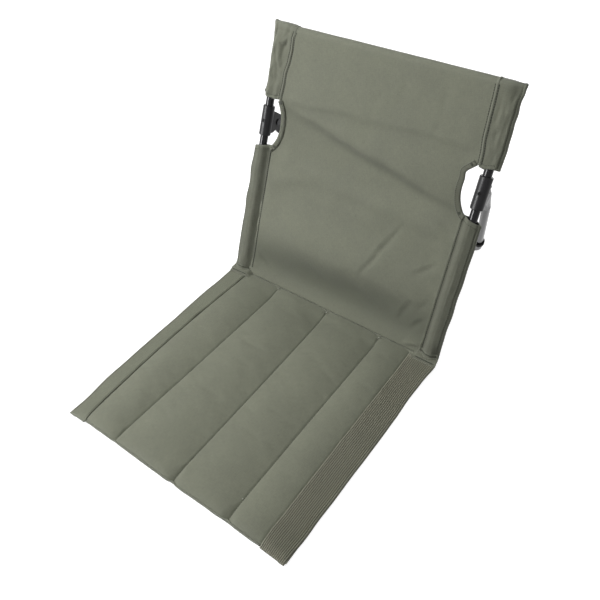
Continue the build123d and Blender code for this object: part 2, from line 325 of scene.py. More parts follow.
def grey(value):
    return (value,) * 3


def unevenThreads(tree, lengths, scale):
    stretch = addNode(tree, "ShaderNodeMapping")
    stretch.inputs["Scale"].default_value = (*scale, 1.0)
    tree.links.new(lengths, stretch.inputs[0])
    return speckle(tree, stretch.outputs[0], 1.0, 2.0)


def clothMaterial(name, look, shade=1.0, cross=1.0):
    made, tree, shader = newMaterial(name)
    link = tree.links.new
    lengths = addNode(tree, "ShaderNodeUVMap", uv_map="weave").outputs[0]
    apart = addNode(tree, "ShaderNodeSeparateXYZ")
    link(lengths, apart.inputs[0])
    turns = 2 * math.pi / (look["thread"] * mm)
    warp = sums(tree, "SINE", sums(tree, "MULTIPLY", apart.outputs[0], turns), 0.0)
    weft = sums(tree, "SINE", sums(tree, "MULTIPLY", apart.outputs[1], turns * cross), 0.0)
    woven = sums(tree, "MULTIPLY_ADD", sums(tree, "MULTIPLY", warp, weft), 0.5)
    woven.node.inputs[2].default_value = 0.5
    place = objectPlace(tree)
    cloudy = speckle(tree, place, look["cloud"], 4.0, 0.6)
    slub = unevenThreads(tree, lengths, look["slub"])
    pick = unevenThreads(tree, lengths, look["slub"][::-1])
    olive, faded, grimy = (tuple(shade * v for v in look[key]) for key in ("olive", "faded", "grimy"))
    dim, bright = (tuple(tone * v for v in olive) for tone in look["cloudTone"])
    colour = ramp(tree, cloudy, 0.32, 0.68, dim, bright)
    threads = sums(tree, "MULTIPLY", sums(tree, "ADD", slub, pick), 0.5)
    fibre = ramp(tree, threads, 0.3, 0.7, *map(grey, look["slubTone"]))
    colour = mixed(tree, "MULTIPLY", 1.0, colour, fibre)
    gaps = ramp(tree, woven, 0.0, 0.6, *map(grey, look["weaveTone"]))
    colour = mixed(tree, "MULTIPLY", 1.0, colour, gaps)
    # ridges mix to the pale tone as wear and painted highlight, folds to the dark tone as painted shade
    wearAndShade = addNode(tree, "ShaderNodeAttribute", attribute_name="wearAndShade").outputs["Fac"]
    ridge = sums(tree, "MULTIPLY", sums(tree, "MAXIMUM", wearAndShade, 0.0), look["ridgeWearLight"])
    hollow = sums(tree, "MAXIMUM", sums(tree, "MULTIPLY", wearAndShade, -1.0), 0.0)
    fold = sums(tree, "MULTIPLY", hollow, look["foldShadeShare"])
    colour = mixed(tree, "MIX", ridge, colour, faded)
    colour = mixed(tree, "MIX", fold, colour, grimy)
    link(colour, shader.inputs["Base Color"])
    smooth, dry = (grey(look["roughness"] + off) for off in look["roughSpread"])
    link(ramp(tree, cloudy, 0.3, 0.7, smooth, dry), shader.inputs["Roughness"])
    scale, height, strength = look["crumple"]
    normal = bumped(tree, speckle(tree, place, scale, 3.0), height, strength)
    normal = bumped(tree, woven, *look["weave"], normal)
    link(normal, shader.inputs["Normal"])
    shader.inputs["Sheen Weight"].default_value = look["sheen"]
    shader.inputs["Sheen Roughness"].default_value = look["sheenRoughness"]
    shader.inputs["Specular IOR Level"].default_value = look["gloss"]
    return made


hardLook = {
    "cloud": 60.0,
    "cloudRough": (0.82, 1.22),
    "scuff": 340.0,
    "scuffEdge": (0.62, 0.78),
    "scuffShare": 0.4,
    "scuffTone": (2.2, 0.004),  # times the pale tone, plus
    "scuffRough": 0.25,
    "grainStrength": 0.4,
}


def hardMaterial(name, dark, light, roughness, grain, height, metallic=0.0, gloss=0.5):
    look = hardLook
    made, tree, shader = newMaterial(name)
    link = tree.links.new
    place = objectPlace(tree)
    cloudy = speckle(tree, place, look["cloud"], 4.0, 0.6)
    fine = speckle(tree, place, grain, 3.0)
    colour = ramp(tree, cloudy, 0.3, 0.7, dark, light)
    scuff = ramp(tree, speckle(tree, place, look["scuff"], 5.0, 0.7), *look["scuffEdge"], grey(0), grey(1))
    times, plus = look["scuffTone"]
    worn = tuple(min(1.0, times * v + plus) for v in light)
    colour = mixed(tree, "MIX", sums(tree, "MULTIPLY", scuff, look["scuffShare"]), colour, worn)
    link(colour, shader.inputs["Base Color"])
    smooth, dry = (grey(roughness * share) for share in look["cloudRough"])
    rough = ramp(tree, cloudy, 0.3, 0.7, smooth, dry)
    rough = mixed(tree, "ADD", sums(tree, "MULTIPLY", scuff, look["scuffRough"]), rough, grey(0.5))
    link(rough, shader.inputs["Roughness"])
    link(bumped(tree, fine, height, look["grainStrength"]), shader.inputs["Normal"])
    shader.inputs["Metallic"].default_value = metallic
    shader.inputs["Specular IOR Level"].default_value = gloss
    return made


threadLook = {"twist": 2600.0, "rough": (0.5, 0.75), "bump": (0.0001, 0.5)}


def threadMaterial(name, dark, light):
    made, tree, shader = newMaterial(name)
    place = objectPlace(tree)
    twist = speckle(tree, place, threadLook["twist"], 2.0)
    colour = ramp(tree, twist, 0.3, 0.7, dark, light)
    rough = ramp(tree, twist, 0.3, 0.7, *map(grey, threadLook["rough"]))
    tree.links.new(colour, shader.inputs["Base Color"])
    tree.links.new(rough, shader.inputs["Roughness"])
    tree.links.new(bumped(tree, twist, *threadLook["bump"]), shader.inputs["Normal"])
    return made


tapeLook = dict(clothLook, thread=0.6)
ribbedLook = dict(clothLook, thread=2.3)
# the right webbing's look: a browner olive, with a paler tone and a darker tone so its ribs take painted
# highlight and painted shade
brownerShadedLook = dict(ribbedLook)
brownerShadedLook.update(olive=(0.194, 0.193, 0.142), faded=(0.315, 0.312, 0.238), grimy=(0.07, 0.07, 0.05))
oliveCloth = clothMaterial("oliveOxfordCloth", clothLook)
bindingCloth = clothMaterial("oliveBindingTape", tapeLook, 0.76)
# painted shade: the sleeves are the same cloth, made darker
sleeveShadedCloth = clothMaterial("darkerShadedSleeve", clothLook, 0.7)
# painted shade: the hood's sides are the same cloth, made darker, the left one more
hoodShadedCloth = {
    1: clothMaterial("shadedHoodSide", clothLook, 0.88),
    -1: clothMaterial("deeperShadedHoodSide", clothLook, 0.8),
}
# lit and shaded copies of one webbing: the left is lighter as painted light, the right darker as painted
# shade
webbingLitShaded = {
    1: clothMaterial("shadedRibbedWebbing", brownerShadedLook, 0.97, 0.8),
    -1: clothMaterial("litRibbedWebbing", ribbedLook, 1.05, 0.8),
}
# painted shade: the webbing's ends at the hinge corners, made darker
cornerShadedCloth = clothMaterial("shadedCornerTape", ribbedLook, 0.8, 0.8)
darkThread = threadMaterial("darkThread", (0.022, 0.026, 0.015), (0.052, 0.058, 0.038))
paleThread = threadMaterial("paleThread", (0.34, 0.35, 0.29), (0.5, 0.51, 0.44))
print("cloth materials ready")


# stitches and loose threads, gathered first and made into one piece for each body
stitchLook = {
    "pitch": 3.3, "length": 2.6, "radius": 0.34, "rise": 0.28, "taper": 0.55, "sides": 6, "rings": 5,
    "start": 0.3,
}
castFrom = {"above": 60.0, "below": -20.0, "front": -40.0, "rear": 40.0}  # clear of every piece
sewing = {"seat": [], "backrest": []}
knots = []


# drop points on the first surface they meet; those that miss are left out
def castOn(pieces, starts, direction):
    graph = bpy.context.evaluated_depsgraph_get()
    pieces = pieces if isinstance(pieces, tuple) else (pieces,)
    trees = [BVHTree.FromObject(piece, graph) for piece in pieces]
    found, normals = [], []
    for start in np.asarray(starts, float):
        hits = [tree.ray_cast(Vector(start * mm), Vector(direction)) for tree in trees]
        hits = [hit for hit in hits if hit[0] is not None]
        if hits:
            nearest = min(hits, key=lambda hit: hit[3])
            found.append(np.array(nearest[0]) / mm)
            normals.append(-np.array(direction))
    return np.array(found), np.array(normals)


def sew(body, line, normals, pitch=None, length=None, radius=None):
    if len(line) < 2:
        return
    pitch, length = pitch or stitchLook["pitch"], length or stitchLook["length"]
    run = lengthAlong(line)
    for first in np.arange(stitchLook["start"], run[-1] - length, pitch):
        at = first + np.linspace(0, length, stitchLook["rings"])
        path, up = pointsAt(at, run, line), pointsAt(at, run, normals)
        arch = np.sin(np.linspace(0, math.pi, len(at))) * 2 * stitchLook["rise"] - stitchLook["rise"]
        sewing[body].append((path + up * arch[:, None], up, radius or stitchLook["radius"]))


def tubeAlong(path, up, radius, sides):
    ahead = unit(np.gradient(path, axis=0))
    side = unit(np.cross(ahead, up))
    top = np.cross(side, ahead)
    turn = np.linspace(0, 2 * math.pi, sides, endpoint=False)
    taper = np.ones(len(path))
    taper[0] = taper[-1] = stitchLook["taper"]
    ring = np.cos(turn)[None, :, None] * side[:, None] + np.sin(turn)[None, :, None] * top[:, None]
    return path[:, None] + ring * (radius * taper)[:, None, None]


def sewnPiece(name, body):
    points, faces, start = [], [], 0
    sides = stitchLook["sides"]
    for path, up, radius in sewing[body]:
        points.append(tubeAlong(path, up, radius, sides).reshape(-1, 3))
        faces += [[start + corner for corner in face] for face in tubeFaces(len(path), sides)]
        start += len(path) * sides
    points = np.concatenate(points)
    piece = newPiece(name, points, faces, points[:, :2], darkThread)
    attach(tidyFaces(piece), body)
    print(name, len(sewing[body]), "stitches and threads")


def looseThread(body, points, radius):
    points = np.asarray(points, float)
    at = np.linspace(0, len(points) - 1, 4 * len(points))
    path = pointsAt(at, np.arange(len(points)), points)
    for turn in range(3):
        path[1:-1] = (path[:-2] + path[1:-1] + path[2:]) / 3
    up = np.tile([0.3, 0.2, 0.93], (len(path), 1))
    sewing[body].append((path, up, radius))


# seat pad: four filled channels, sewn down along three seams and two side bands
padLook = {
    "crown": 13.4, "seam": 6.3, "band": 8.4, "edge": 2.6, "floor": 1.7,  # heights
    "endCrown": 6.4, "endSeam": 4.4, "endBand": 4.4, "frontBack": 1.6, "frontRoll": 26.0,
    "lipRise": 13.9, "lipSeam": 11.6, "lipStart": 10.2, "lipRows": (8.6, 3.4, 5), "lipTuck": (0.3, 1.6),
    "lipUnder": ((10.2, 5.0), (10.1, 9.0), (9.9, 11.3), (6.6, 11.6), (3.9, 12.0)),  # before the hinge, height
    "step": 4.4, "crowd": 0.6, "arch": 0.86, "start": 0.74, "pressure": 4.0, "extraCloth": 0.003,
    "mostMove": 5.0, "frames": 20,
    "groove": 0.9, "grooveWidth": 1.2, "bandGroove": (0.6, 1.6), "pucker": 0.22, "pit": 2.8, "pitReach": 30.0,
    "gather": (2.6, 6.5), "crimp": 0.45, "slack": (0.55, 0.25),
    "notch": 2.3, "notchWidth": 5.5, "frontWave": 0.8, "frontBow": ((1.0, -110, 48), (0.8, 110, 60)),
    # painted shade: the pad darkens towards the hinge line
    "paintedShade": 0.34, "darkeningReach": (150, 15),
}
padStiffness = {
    "quality": 6, "mass": 0.25, "tension_stiffness": 22, "compression_stiffness": 18, "shear_stiffness": 8,
    "bending_stiffness": 0.8, "air_damping": 3,
}
# where the seams and bands run, front and rear, and how far they bow to the side between
seamRuns = [(-198.0, -198.0, 0.0), (-166.7, -168.5, -6.5), (-105.0, -99.5, 0.6), (7.0, 1.5, 0.8),
            (103.4, 102.6, -0.6), (158.6, 157.0, 0.0), (198.0, 198.0, 0.0)]
channelSeams = (2, 3, 4)
drawnIn = {2: (0.4, 0.35), 3: (1.0, 1.0), 4: (0.9, 0.9)}  # share of the notch and of the pit at each seam
# how high the side edges lift at the rear, and over what length
sideLift = {-1: (6.0, 340.0), 1: (8.0, 90.0)}


def runX(number, y):
    first, last, bow = seamRuns[number]
    t = np.clip((np.asarray(y, float) - chair["front"]) / (hingeY - chair["front"]), 0, 1)
    return first + (last - first) * t + bow * np.sin(math.pi * t)


def edgeLift(x, y):  # the sides of the seat rise a little towards the sleeves
    x, y = np.broadcast_arrays(np.asarray(x, float), np.asarray(y, float))
    total = np.zeros(x.shape)
    for side, (height, length) in sideLift.items():
        rise = np.clip((y - (hingeY - 10 - length)) / length, 0, 1) ** 1.35
        total = total + height * rise * np.clip((side * x - 150) / 48, 0, 1) ** 1.3
    return total


def frontLine(x):  # how far the front edge waves and is drawn in at the seams
    x = np.asarray(x, float)
    back = padLook["frontWave"] * ripple(x / 27, 2.5, 37)
    for k, (share, pit) in drawnIn.items():
        back = back + share * padLook["notch"] * bump(x - seamRuns[k][0], 0, padLook["notchWidth"])
    for height, middle, width in padLook["frontBow"]:
        back = back + height * bump(x, middle, width)
    return back


def swelled(end, middle, y):  # quarter round at the front
    share = np.clip((y - chair["front"] - padLook["frontBack"]) / padLook["frontRoll"], 0, 1)
    return end + (middle - end) * np.sqrt(np.clip(1 - (1 - share) ** 2, 0, 1))


def padHeights(y):  # heights at the seven runs and of the crowns, along the seat
    look = padLook
    rear = ease(y, hingeY - 34, hingeY - 4)
    seam = swelled(look["endSeam"], look["seam"], y)
    seam = seam + (look["lipSeam"] - seam) * rear
    band = swelled(look["endBand"], look["band"], y) + 1.2 * rear
    crown = swelled(look["endCrown"], look["crown"], y)
    crown = crown + (look["lipRise"] - crown) * rear
    edge = np.full_like(y, look["edge"])
    return [edge, band, seam, seam, seam, band, edge], crown


def inflate(piece, held):  # blow the channels up with cloth, the seams held
    look = padLook
    group = piece.vertex_groups.new(name="sewnDown")
    group.add([int(i) for i in np.nonzero(held)[0]], 1.0, "REPLACE")
    cloth = piece.modifiers.new("padCloth", "CLOTH")
    for key, value in padStiffness.items():
        setattr(cloth.settings, key, value)
    cloth.settings.use_pressure = True
    cloth.settings.uniform_pressure_force = look["pressure"]
    cloth.settings.vertex_group_mass = group.name
    cloth.settings.shrink_min = -look["extraCloth"]
    cloth.settings.effector_weights.gravity = 0
    cloth.collision_settings.use_collision = False
    cloth.point_cache.frame_start, cloth.point_cache.frame_end = 1, look["frames"]
    before = readValues(piece.data.vertices, "co", 3, np.float32)
    for number in range(1, look["frames"] + 1):
        scene.frame_set(number)
    graph = bpy.context.evaluated_depsgraph_get()
    after = readValues(piece.evaluated_get(graph).to_mesh().vertices, "co", 3, np.float32)
    piece.evaluated_get(graph).to_mesh_clear()
    piece.modifiers.clear()
    piece.vertex_groups.clear()
    scene.frame_set(1)
    move = after - before
    far = np.linalg.norm(move, axis=1, keepdims=True)
    move *= np.minimum(1, look["mostMove"] * mm / np.maximum(far, 1e-9))
    most, mean = round(float(far.max()) / mm, 1), round(float(far.mean()) / mm, 2)
    print("seat pad blown up, most", most, "mm, mean", mean)
    piece.data.vertices.foreach_set("co", (before + move).ravel())
    piece.data.update()


def makeSeatPad():
    look = padLook
    shares, number = [], []
    for k in range(6):
        wide = seamRuns[k + 1][0] - seamRuns[k][0]
        count = max(5, round(wide / look["step"]))
        even = np.linspace(0, 1, count, endpoint=False)
        shares += list(even - look["crowd"] / (2 * math.pi) * np.sin(2 * math.pi * even))
        number += [k] * count
    shares, number = np.array(shares + [1.0]), np.array(number + [5])
    flatRear = hingeY - look["lipStart"]
    count = round((flatRear - chair["front"]) / look["step"])
    lines = np.linspace(chair["front"] + look["frontBack"], flatRear, count)
    lip = hingeY - np.linspace(*look["lipRows"])
    y = np.repeat(np.concatenate([lines, lip])[:, None], len(shares), 1)
    runs = np.stack([runX(k, y[:, 0]) for k in range(7)], 1)
    heights, crown = padHeights(y[:, 0])
    heights = np.stack(heights, 1)
    x = runs[:, number] + (runs[:, number + 1] - runs[:, number]) * shares
    top = heights[:, number] + (heights[:, number + 1] - heights[:, number]) * shares
    swell = look["start"]
    filled = (number > 0) & (number < 5)
    arch = np.where(filled, np.clip(4 * shares * (1 - shares), 0, 1) ** look["arch"], 0)
    top = top + (crown[:, None] - top) * arch * swell
    top[-2:] -= np.array(look["lipTuck"])[:, None]
    top = top + edgeLift(x, y)
    base = look["floor"] + 0.8 * edgeLift(x, y)
    under = y.copy()
    for row, (back, high) in zip(range(-5, 0), look["lipUnder"]):
        under[row] = hingeY - back
        base[row] = np.minimum(high, top[row] - 0.5)
    rows, cols = x.shape
    upper = np.stack([x, y, top], -1).reshape(-1, 3)
    lower = np.stack([x, under, base], -1).reshape(-1, 3)
    faces = gridFaces(rows, cols) + [f[::-1] for f in gridFaces(rows, cols, rows * cols)]
    ring = list(range(cols)) + [r * cols + cols - 1 for r in range(1, rows)]
    ring += [(rows - 1) * cols + c for c in range(cols - 2, -1, -1)]
    ring += [r * cols for r in range(rows - 2, 0, -1)]
    for a, b in zip(ring, ring[1:] + ring[:1]):
        faces.append([b, a, a + rows * cols, b + rows * cols])
    weave = np.concatenate([np.stack([x, y], -1).reshape(-1, 2)] * 2)
    piece = newPiece("seatPad", np.concatenate([upper, lower]), faces, weave, oliveCloth)
    tidyFaces(piece)
    outside = piece.data.attributes.new("upper", "FLOAT", "POINT")
    outside.data.foreach_set("value", np.repeat([1.0, 0.0], rows * cols).astype(np.float32))
    onSeam = (shares < 1e-6) | (shares == 1) | ~filled
    held = np.repeat(onSeam[None], rows, 0)
    held[0], held[-6:] = True, True
    held = np.concatenate([held.ravel(), np.ones(rows * cols, bool)])
    inflate(piece, held)
    refine(piece, 1)
    dressSeams(piece)
    # painted shade in the pad's folds and deepening towards the hinge
    first, last = look["darkeningReach"]
    markWearShade(piece, 3, lambda px, py, pz: look["paintedShade"] * ease(py, hingeY - first, hingeY - last), 1.8)
    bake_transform(piece)
    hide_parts("seat_cover", "seat_foam_1", "seat_foam_2", "seat_foam_3", "seat_foam_4")
    return piece


# sewn grooves, puckers beside them, pits at the front and gathers at the hinge
def dressSeams(piece):
    look = padLook
    outside = readValues(piece.data.attributes["upper"].data, "value", 1, np.float32)
    x, y, z = readValues(piece.data.vertices, "co", 3, np.float32).T / mm
    front = y - chair["front"] - look["frontBack"]
    rear = hingeY - y
    drop = np.zeros(len(x))
    gather, gatherWidth = look["gather"]
    for k, (share, pit) in drawnIn.items():
        near = np.abs(x - runX(k, y))
        drop += look["groove"] * bump(near, 0, look["grooveWidth"])
        puckers = ripple(y / 7.0, near / 16 + 9 * k, 31 + k) + 0.6 * ripple(y / 15.0, near / 20 + 5, 41 + k)
        drop += look["pucker"] * puckers * bump(near, 7, 6)
        back = np.clip(1 - front / look["pitReach"], 0, 1)
        drop += pit * look["pit"] * back ** 0.8 * bump(near, 0, 2.2 + 6 * back)
        drop += gather * bump(rear, 3, 9) * bump(near, 0, gatherWidth)
    for k in (1, 5):
        depth, width = look["bandGroove"]
        drop += depth * bump(x - runX(k, y), 0, width)
    crimp = look["crimp"] * np.sin(x / 0.72 + 2 * ripple(x / 20, 3, 36)) * bump(rear, 5, 9)
    drop += crimp * np.clip(1 - np.abs(x) / 158, 0, 1) ** 0.3
    wide, narrow = look["slack"]
    slow = ripple(x / 60, y / 85, 7) * wide + ripple(x / 30, y / 60, 8) * narrow
    drop += slow * np.clip((z - 6) / 6, 0, 1)
    z = np.maximum(z - drop * outside, look["floor"] + 0.3 * outside)
    y = y + frontLine(x) * np.clip(1 - front / 22, 0, 1) ** 2
    piece.data.vertices.foreach_set("co", (np.stack([x, y, z], 1) * mm).astype(np.float32).ravel())
    piece.data.attributes.remove(piece.data.attributes["upper"])
    piece.data.update()


seatPad = makeSeatPad()
print("seat pad ready")


def padTop(x, y):  # where the pad's upper side is met, if it is
    return castOn(seatPad, [(x, y, castFrom["above"])], (0, 0, -1))[0]


# ribbed webbing folded round both side edges of the seat
webbingLook = {
    "ribs": 15, "ribHeight": {1: 1.15, -1: 0.55}, "ribRound": 0.6, "thickness": 0.9, "underlap": 12.0,
    "rowStep": 4.0, "wave": 0.35, "bend": 1.6, "past": {1: 0.8, -1: 1.6}, "lap": {1: 0.0, -1: 0.7},
    "edge": {1: -2.2, -1: 2.5}, "narrower": {1: (2.6, 60), -1: (5.3, 110)},  # outer edge, drawn in in front
    "rearFlare": {1: 4.5, -1: 0.0},
    "paintedShade": {1: 0.4, -1: 0.0}, "frontDarkening": {1: 0.22, -1: 0.0},  # painted shade over the whole right one, darker still towards its front
    # how strongly rib crests pale and grooves darken, as painted highlight and painted shade
    "darkeningReach": 150, "contrast": {1: 12.0, -1: 3.0},
}


def webbingTop(side, y):  # its inner and outer edges and the heights there
    look = webbingLook
    y, front = np.asarray(y, float), chair["front"]
    inner = np.abs(runX(5 if side > 0 else 1, y)) + 0.5 * ripple(y / 22, 8.0 + side, 52) - look["lap"][side]
    outer = chair["halfWidth"] + 0.9 * ripple(y / 38, 5.0 + side, 53) + look["edge"][side]
    narrower, reach = look["narrower"][side]
    outer = outer - narrower * ease(-y, -front - reach, -front)
    outer = outer + look["rearFlare"][side] * bump(y, chair["padRear"], 22)
    curl = ease(-y, -front - 8, -front + 1)
    band = padHeights(y)[0][1]
    return inner, outer, band + 0.35 - 1.4 * curl, 2.8 - 1.2 * curl


def makeWebbing(side, name, node):
    look = webbingLook
    first, last = chair["front"] - look["past"][side], chair["padRear"] - 0.2
    lines = np.linspace(first, last, round((chair["padRear"] - chair["front"]) / look["rowStep"]))
    across = np.linspace(0, 1, look["ribs"] * 10 + 1)
    rib = np.abs(np.sin(math.pi * look["ribs"] * across)) ** look["ribRound"]
    turn = np.radians(np.linspace(60, -90, 9)[1:])
    bend, inside = look["bend"], look["bend"] - 0.5
    loops, weave = [], []
    for y in lines:
        inX, outX, band, low = (float(v) for v in webbingTop(side, y))
        x = inX + (outX - inX) * across
        wobble = ripple(y / 34, 3.0 + side, 51) * look["wave"]
        z = band + (low - band) * across ** 1.3 + wobble * np.sin(math.pi * across)
        raised = (look["thickness"] + look["ribHeight"][side] * (rib - 0.3)) * ease(across, -0.03, 0.045)
        bendX, bendZ = outX + bend * np.cos(turn) - bend / 2, bend + 0.15 + bend * np.sin(turn)
        underX = np.linspace(outX - 1, chair["halfWidth"] - look["underlap"], 8)[1:]
        topX = np.concatenate([x, bendX, underX])
        topZ = np.concatenate([z + raised, bendZ, np.full(7, 0.15)])
        lowX = np.concatenate([x, bendX - inside * np.cos(turn), underX])
        lowZ = np.concatenate([z, bendZ - inside * np.sin(turn), np.full(7, 1.25)])
        loopX, loopZ = np.concatenate([topX, lowX[::-1]]), np.concatenate([topZ, lowZ[::-1]])
        loopZ = np.maximum(loopZ, 0.1) + edgeLift(side * loopX, y)
        loops.append(np.stack([side * loopX, np.full_like(loopX, y), loopZ], -1))
        run = lengthAlong(np.stack([loopX, loopZ], 1))
        weave.append(np.stack([run, np.full_like(run, y)], -1))
    loops, weave = np.array(loops), np.array(weave)
    rows, cols = loops.shape[:2]
    faces = tubeFaces(rows, cols, capped=False)
    for start in (0, (rows - 1) * cols):
        for k in range(cols // 2 - 1):
            faces.append([start + k, start + k + 1, start + cols - 2 - k, start + cols - 1 - k])
    piece = newPiece(name, loops, faces, weave, webbingLitShaded[side])
    tidyFaces(piece)
    paintedShade, frontDarkening, reach = look["paintedShade"][side], look["frontDarkening"][side], look["darkeningReach"]
    front = chair["front"]

    # painted shade over the right webbing, darker towards its front
    def paintedDarkening(px, py, pz):
        return paintedShade + frontDarkening * ease(front + reach - py, 0, reach)

    markWearShade(piece, 1, paintedDarkening, look["contrast"][side])
    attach(piece, "seat")
    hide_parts(node)
    return piece


webbing = {}
for side, word in sideNames.items():
    webbing[side] = makeWebbing(side, f"seatWebbing_{word}", f"seat_webbing_{word}")
print("webbing ready")


# the seat's folded front edge
edgeLook = {
    "half": (1.0, 1.9), "height": 2.7, "back": 1.3, "step": 2.5, "sides": 12, "uneven": 0.14, "wave": 0.35,
}


def makeFrontEdge():
    look = edgeLook
    x = np.arange(seamRuns[1][0] - 1, seamRuns[5][0] + 1, look["step"])
    turn = np.linspace(0, 2 * math.pi, look["sides"], endpoint=False)
    size = 1 + look["uneven"] * ripple(x / 9, 3.0, 38)[:, None]
    y = chair["front"] + look["back"] + frontLine(x)[:, None]
    z = look["height"] + look["wave"] * ripple(x / 14, 6.0, 39)[:, None]
    deep, high = look["half"]
    y, z = y + deep * size * np.cos(turn), z + high * size * np.sin(turn)
    points = np.stack([np.repeat(x[:, None], look["sides"], 1), y, z], -1)
    weave = np.stack(np.meshgrid(np.linspace(0, 10, look["sides"]), x), -1)
    piece = newPiece("frontEdge", points, tubeFaces(*y.shape), weave, oliveCloth)
    tidyFaces(piece)
    markWearShade(piece, 1)
    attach(piece, "seat")


makeFrontEdge()


# cloth under the seat
baseLook = {"half": 187.5, "thickness": 1.0, "height": 1.2, "rows": 60}


def makeSeatBase():
    look = baseLook
    x, y = np.meshgrid(np.linspace(-look["half"], look["half"], look["rows"]),
                       np.linspace(chair["front"] + 2, chair["padRear"] - 0.5, look["rows"]))
    z = look["height"] + 0.12 * ripple(x / 30, y / 30, 61) + 0.8 * edgeLift(x, y)
    points, weave = np.stack([x, y, z], -1), np.stack([x, y], -1)
    piece = newPiece("seatBase", points, gridFaces(*x.shape), weave, oliveCloth)
    thicken(piece, look["thickness"])
    tidyFaces(piece)
    markWearShade(piece, 2)
    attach(piece, "seat")
    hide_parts("seat_base_panel")
    return piece


seatBase = makeSeatBase()


# folded welt behind the seat that the back's rolled hem turns in
weltLook = {
    "front": -9.6, "rear": 4.9, "top": 11.2, "groove": 3.25, "stations": 150, "wave": 0.35,
    "gather": (1.1, 7.0),
}


def makeWelt():
    look = weltLook
    turn = np.radians(np.linspace(-14, -166, 15))
    groove = [(look["groove"] * math.cos(t), hingeZ + look["groove"] * math.sin(t)) for t in turn]
    front, rear, top = look["front"], look["rear"], look["top"]
    behind = [(front + 1, 0.1), (rear - 1, 0.1), (rear - 0.2, 0.6), (rear, 1.6),
              (rear + 0.1, 5.5), (rear, top - 1.5), (rear - 0.7, top - 0.4)]
    before = [(-4.4, top + 0.1), (-6.2, top - 0.2), (front + 1, top - 1.2),
              (front, top - 2.6), (front + 0.25, 5.0), (front, 1.5)]
    profile = np.array(behind + groove + before)
    loose = np.array([0.3] * len(behind) + [0.0] * len(groove) + [1.0] * len(before))
    deep, wide = look["gather"]
    xs = np.linspace(-chair["panelHalf"] + 0.2, chair["panelHalf"] - 0.2, look["stations"])
    loops = []
    for x in xs:
        sway = ripple(x / 11 + np.zeros(len(profile)), profile[:, 1] / 9, 71) * look["wave"] * loose
        gather = sum(deep * bump(x, runX(k, hingeY), wide) for k in channelSeams)
        z = np.maximum(profile[:, 1] - gather * np.maximum(loose - 0.5, 0) + sway * 0.5, 0.05)
        loops.append(np.stack([np.full(len(profile), x), hingeY + profile[:, 0] + sway, z], -1))
    loops = np.array(loops)
    weave = np.stack(np.meshgrid(lengthAlong(profile), xs), -1)
    piece = newPiece("hingeWelt", loops, tubeFaces(*loops.shape[:2]), weave, oliveCloth)
    tidyFaces(piece)
    markWearShade(piece, 1)
    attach(piece, "seat")
    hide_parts("hinge_welt")


makeWelt()
print("seat ready")


# back cloth: from the rolled hem up the front, over the top bar and down to a hem behind
backLook = {
    "thickness": 1.3, "columns": 150, "rowStep": 2.4, "hemRadius": 2.25, "bindingTuck": 1.2,
    "hollow": (31.0, 4.5), "roll": (90.0, -11.5), "sag": (165.0, -4.0), "hang": (235.0, 4.5),
    "drape": [(-150, 293), (-131, 288), (-80, 278), (-34, 268), (42, 253), (107, 238), (165, 226)],
    "drapeWidth": 7.0, "drapeWave": 2.0,
    "brow": [(136, 1), (146, 5), (156, 9), (166, 10), (178, 8)], "browHeight": 2.2,  # curled fold, right foot
    "ring": (-160, 4, 14, 0.8),  # x, s, radius and depth of a curled fold at the left foot
    "slack": (0.55, 0.3), "seamPucker": 0.45, "rearSag": 2.6,
    # painted shade over the hollow above the hinge and along the long drape
    "paintedShade": 0.7, "shadePlace": (42, 33), "creaseShade": 0.22,
}
hoodLook = {
    "outer": {
        1: ((298, 200.4), (346, 199.6), (388, 197.8), (397, 198.8), (411, 199.2)),
        -1: ((298, 199.3), (307, 199.0), (324, 194.4), (345, 196.0), (366, 197.0), (411, 197.4)),
    },
    "top": {
        1: ((0, 0), (0.5, 0), (0.75, -0.7), (1, -1.5)),
        -1: ((0, 0), (0.12, 1.5), (0.5, 1.9), (0.85, 1.4), (1, 0.2)),
    },
    "foot": {
        1: ((0, -2.6), (0.3, -2.0), (0.5, -0.3), (0.65, 0.2), (0.8, 0.1), (1, -0.7)),
        -1: ((0, 2.5), (0.6, 2.5), (0.7, 3.4), (0.8, 5.5), (0.9, 7.6), (1, 8.5)),
    },
    "seam": {
        1: ((298, 172.6), (402, 164.8)),
        -1: ((298, 161.0), (309, 160.9), (326, 159.4), (341, 160.1), (358, 156.6), (377, 155.8), (393, 157.2),
             (402, 154.6)),
    },
    "seamWave": {1: 0.9, -1: 0.4}, "crumple": {1: 0.7, -1: 1.8}, "flatWidth": {1: 0.07, -1: 0.087},
    "thickness": 1.2, "columns": 34, "rowStep": 2.6, "clear": 0.25, "emptyCorner": 0.55,
    "edge": 1.0, "fall": 1.5, "strip": 3.8, "stripStep": (-5.0, -3.4), "stripEnd": -1.3,
    "topCrease": 1.5, "dent": (2.6, 0.38, 0.15, 379, 13),  # depth, then place and width across and up
}
# three points of each cut-out's edge, top, middle and foot; the cloth sits a little to the right
cutEdges = {
    1: ((170.8, 298.0), (158.0, 261.0), (169.4, 228.0)),
    -1: ((163.6, 298.0), (154.7, 263.0), (166.4, 228.0)),
}
# drapes that run across the cloth, as points (x, s), width and step; the cloth above comes forward
drapeLook = [
    ([(-150, 303), (-30, 309), (40, 314), (90, 316), (170, 315)], 4.5, 3.6),
    ([(-155, 172), (-90, 186), (-38, 193), (40, 190), (160, 183)], 9.0, 3.6),
    ([(-160, 212), (-125, 207), (-90, 203), (-40, 200)], 7.0, 1.8),
]
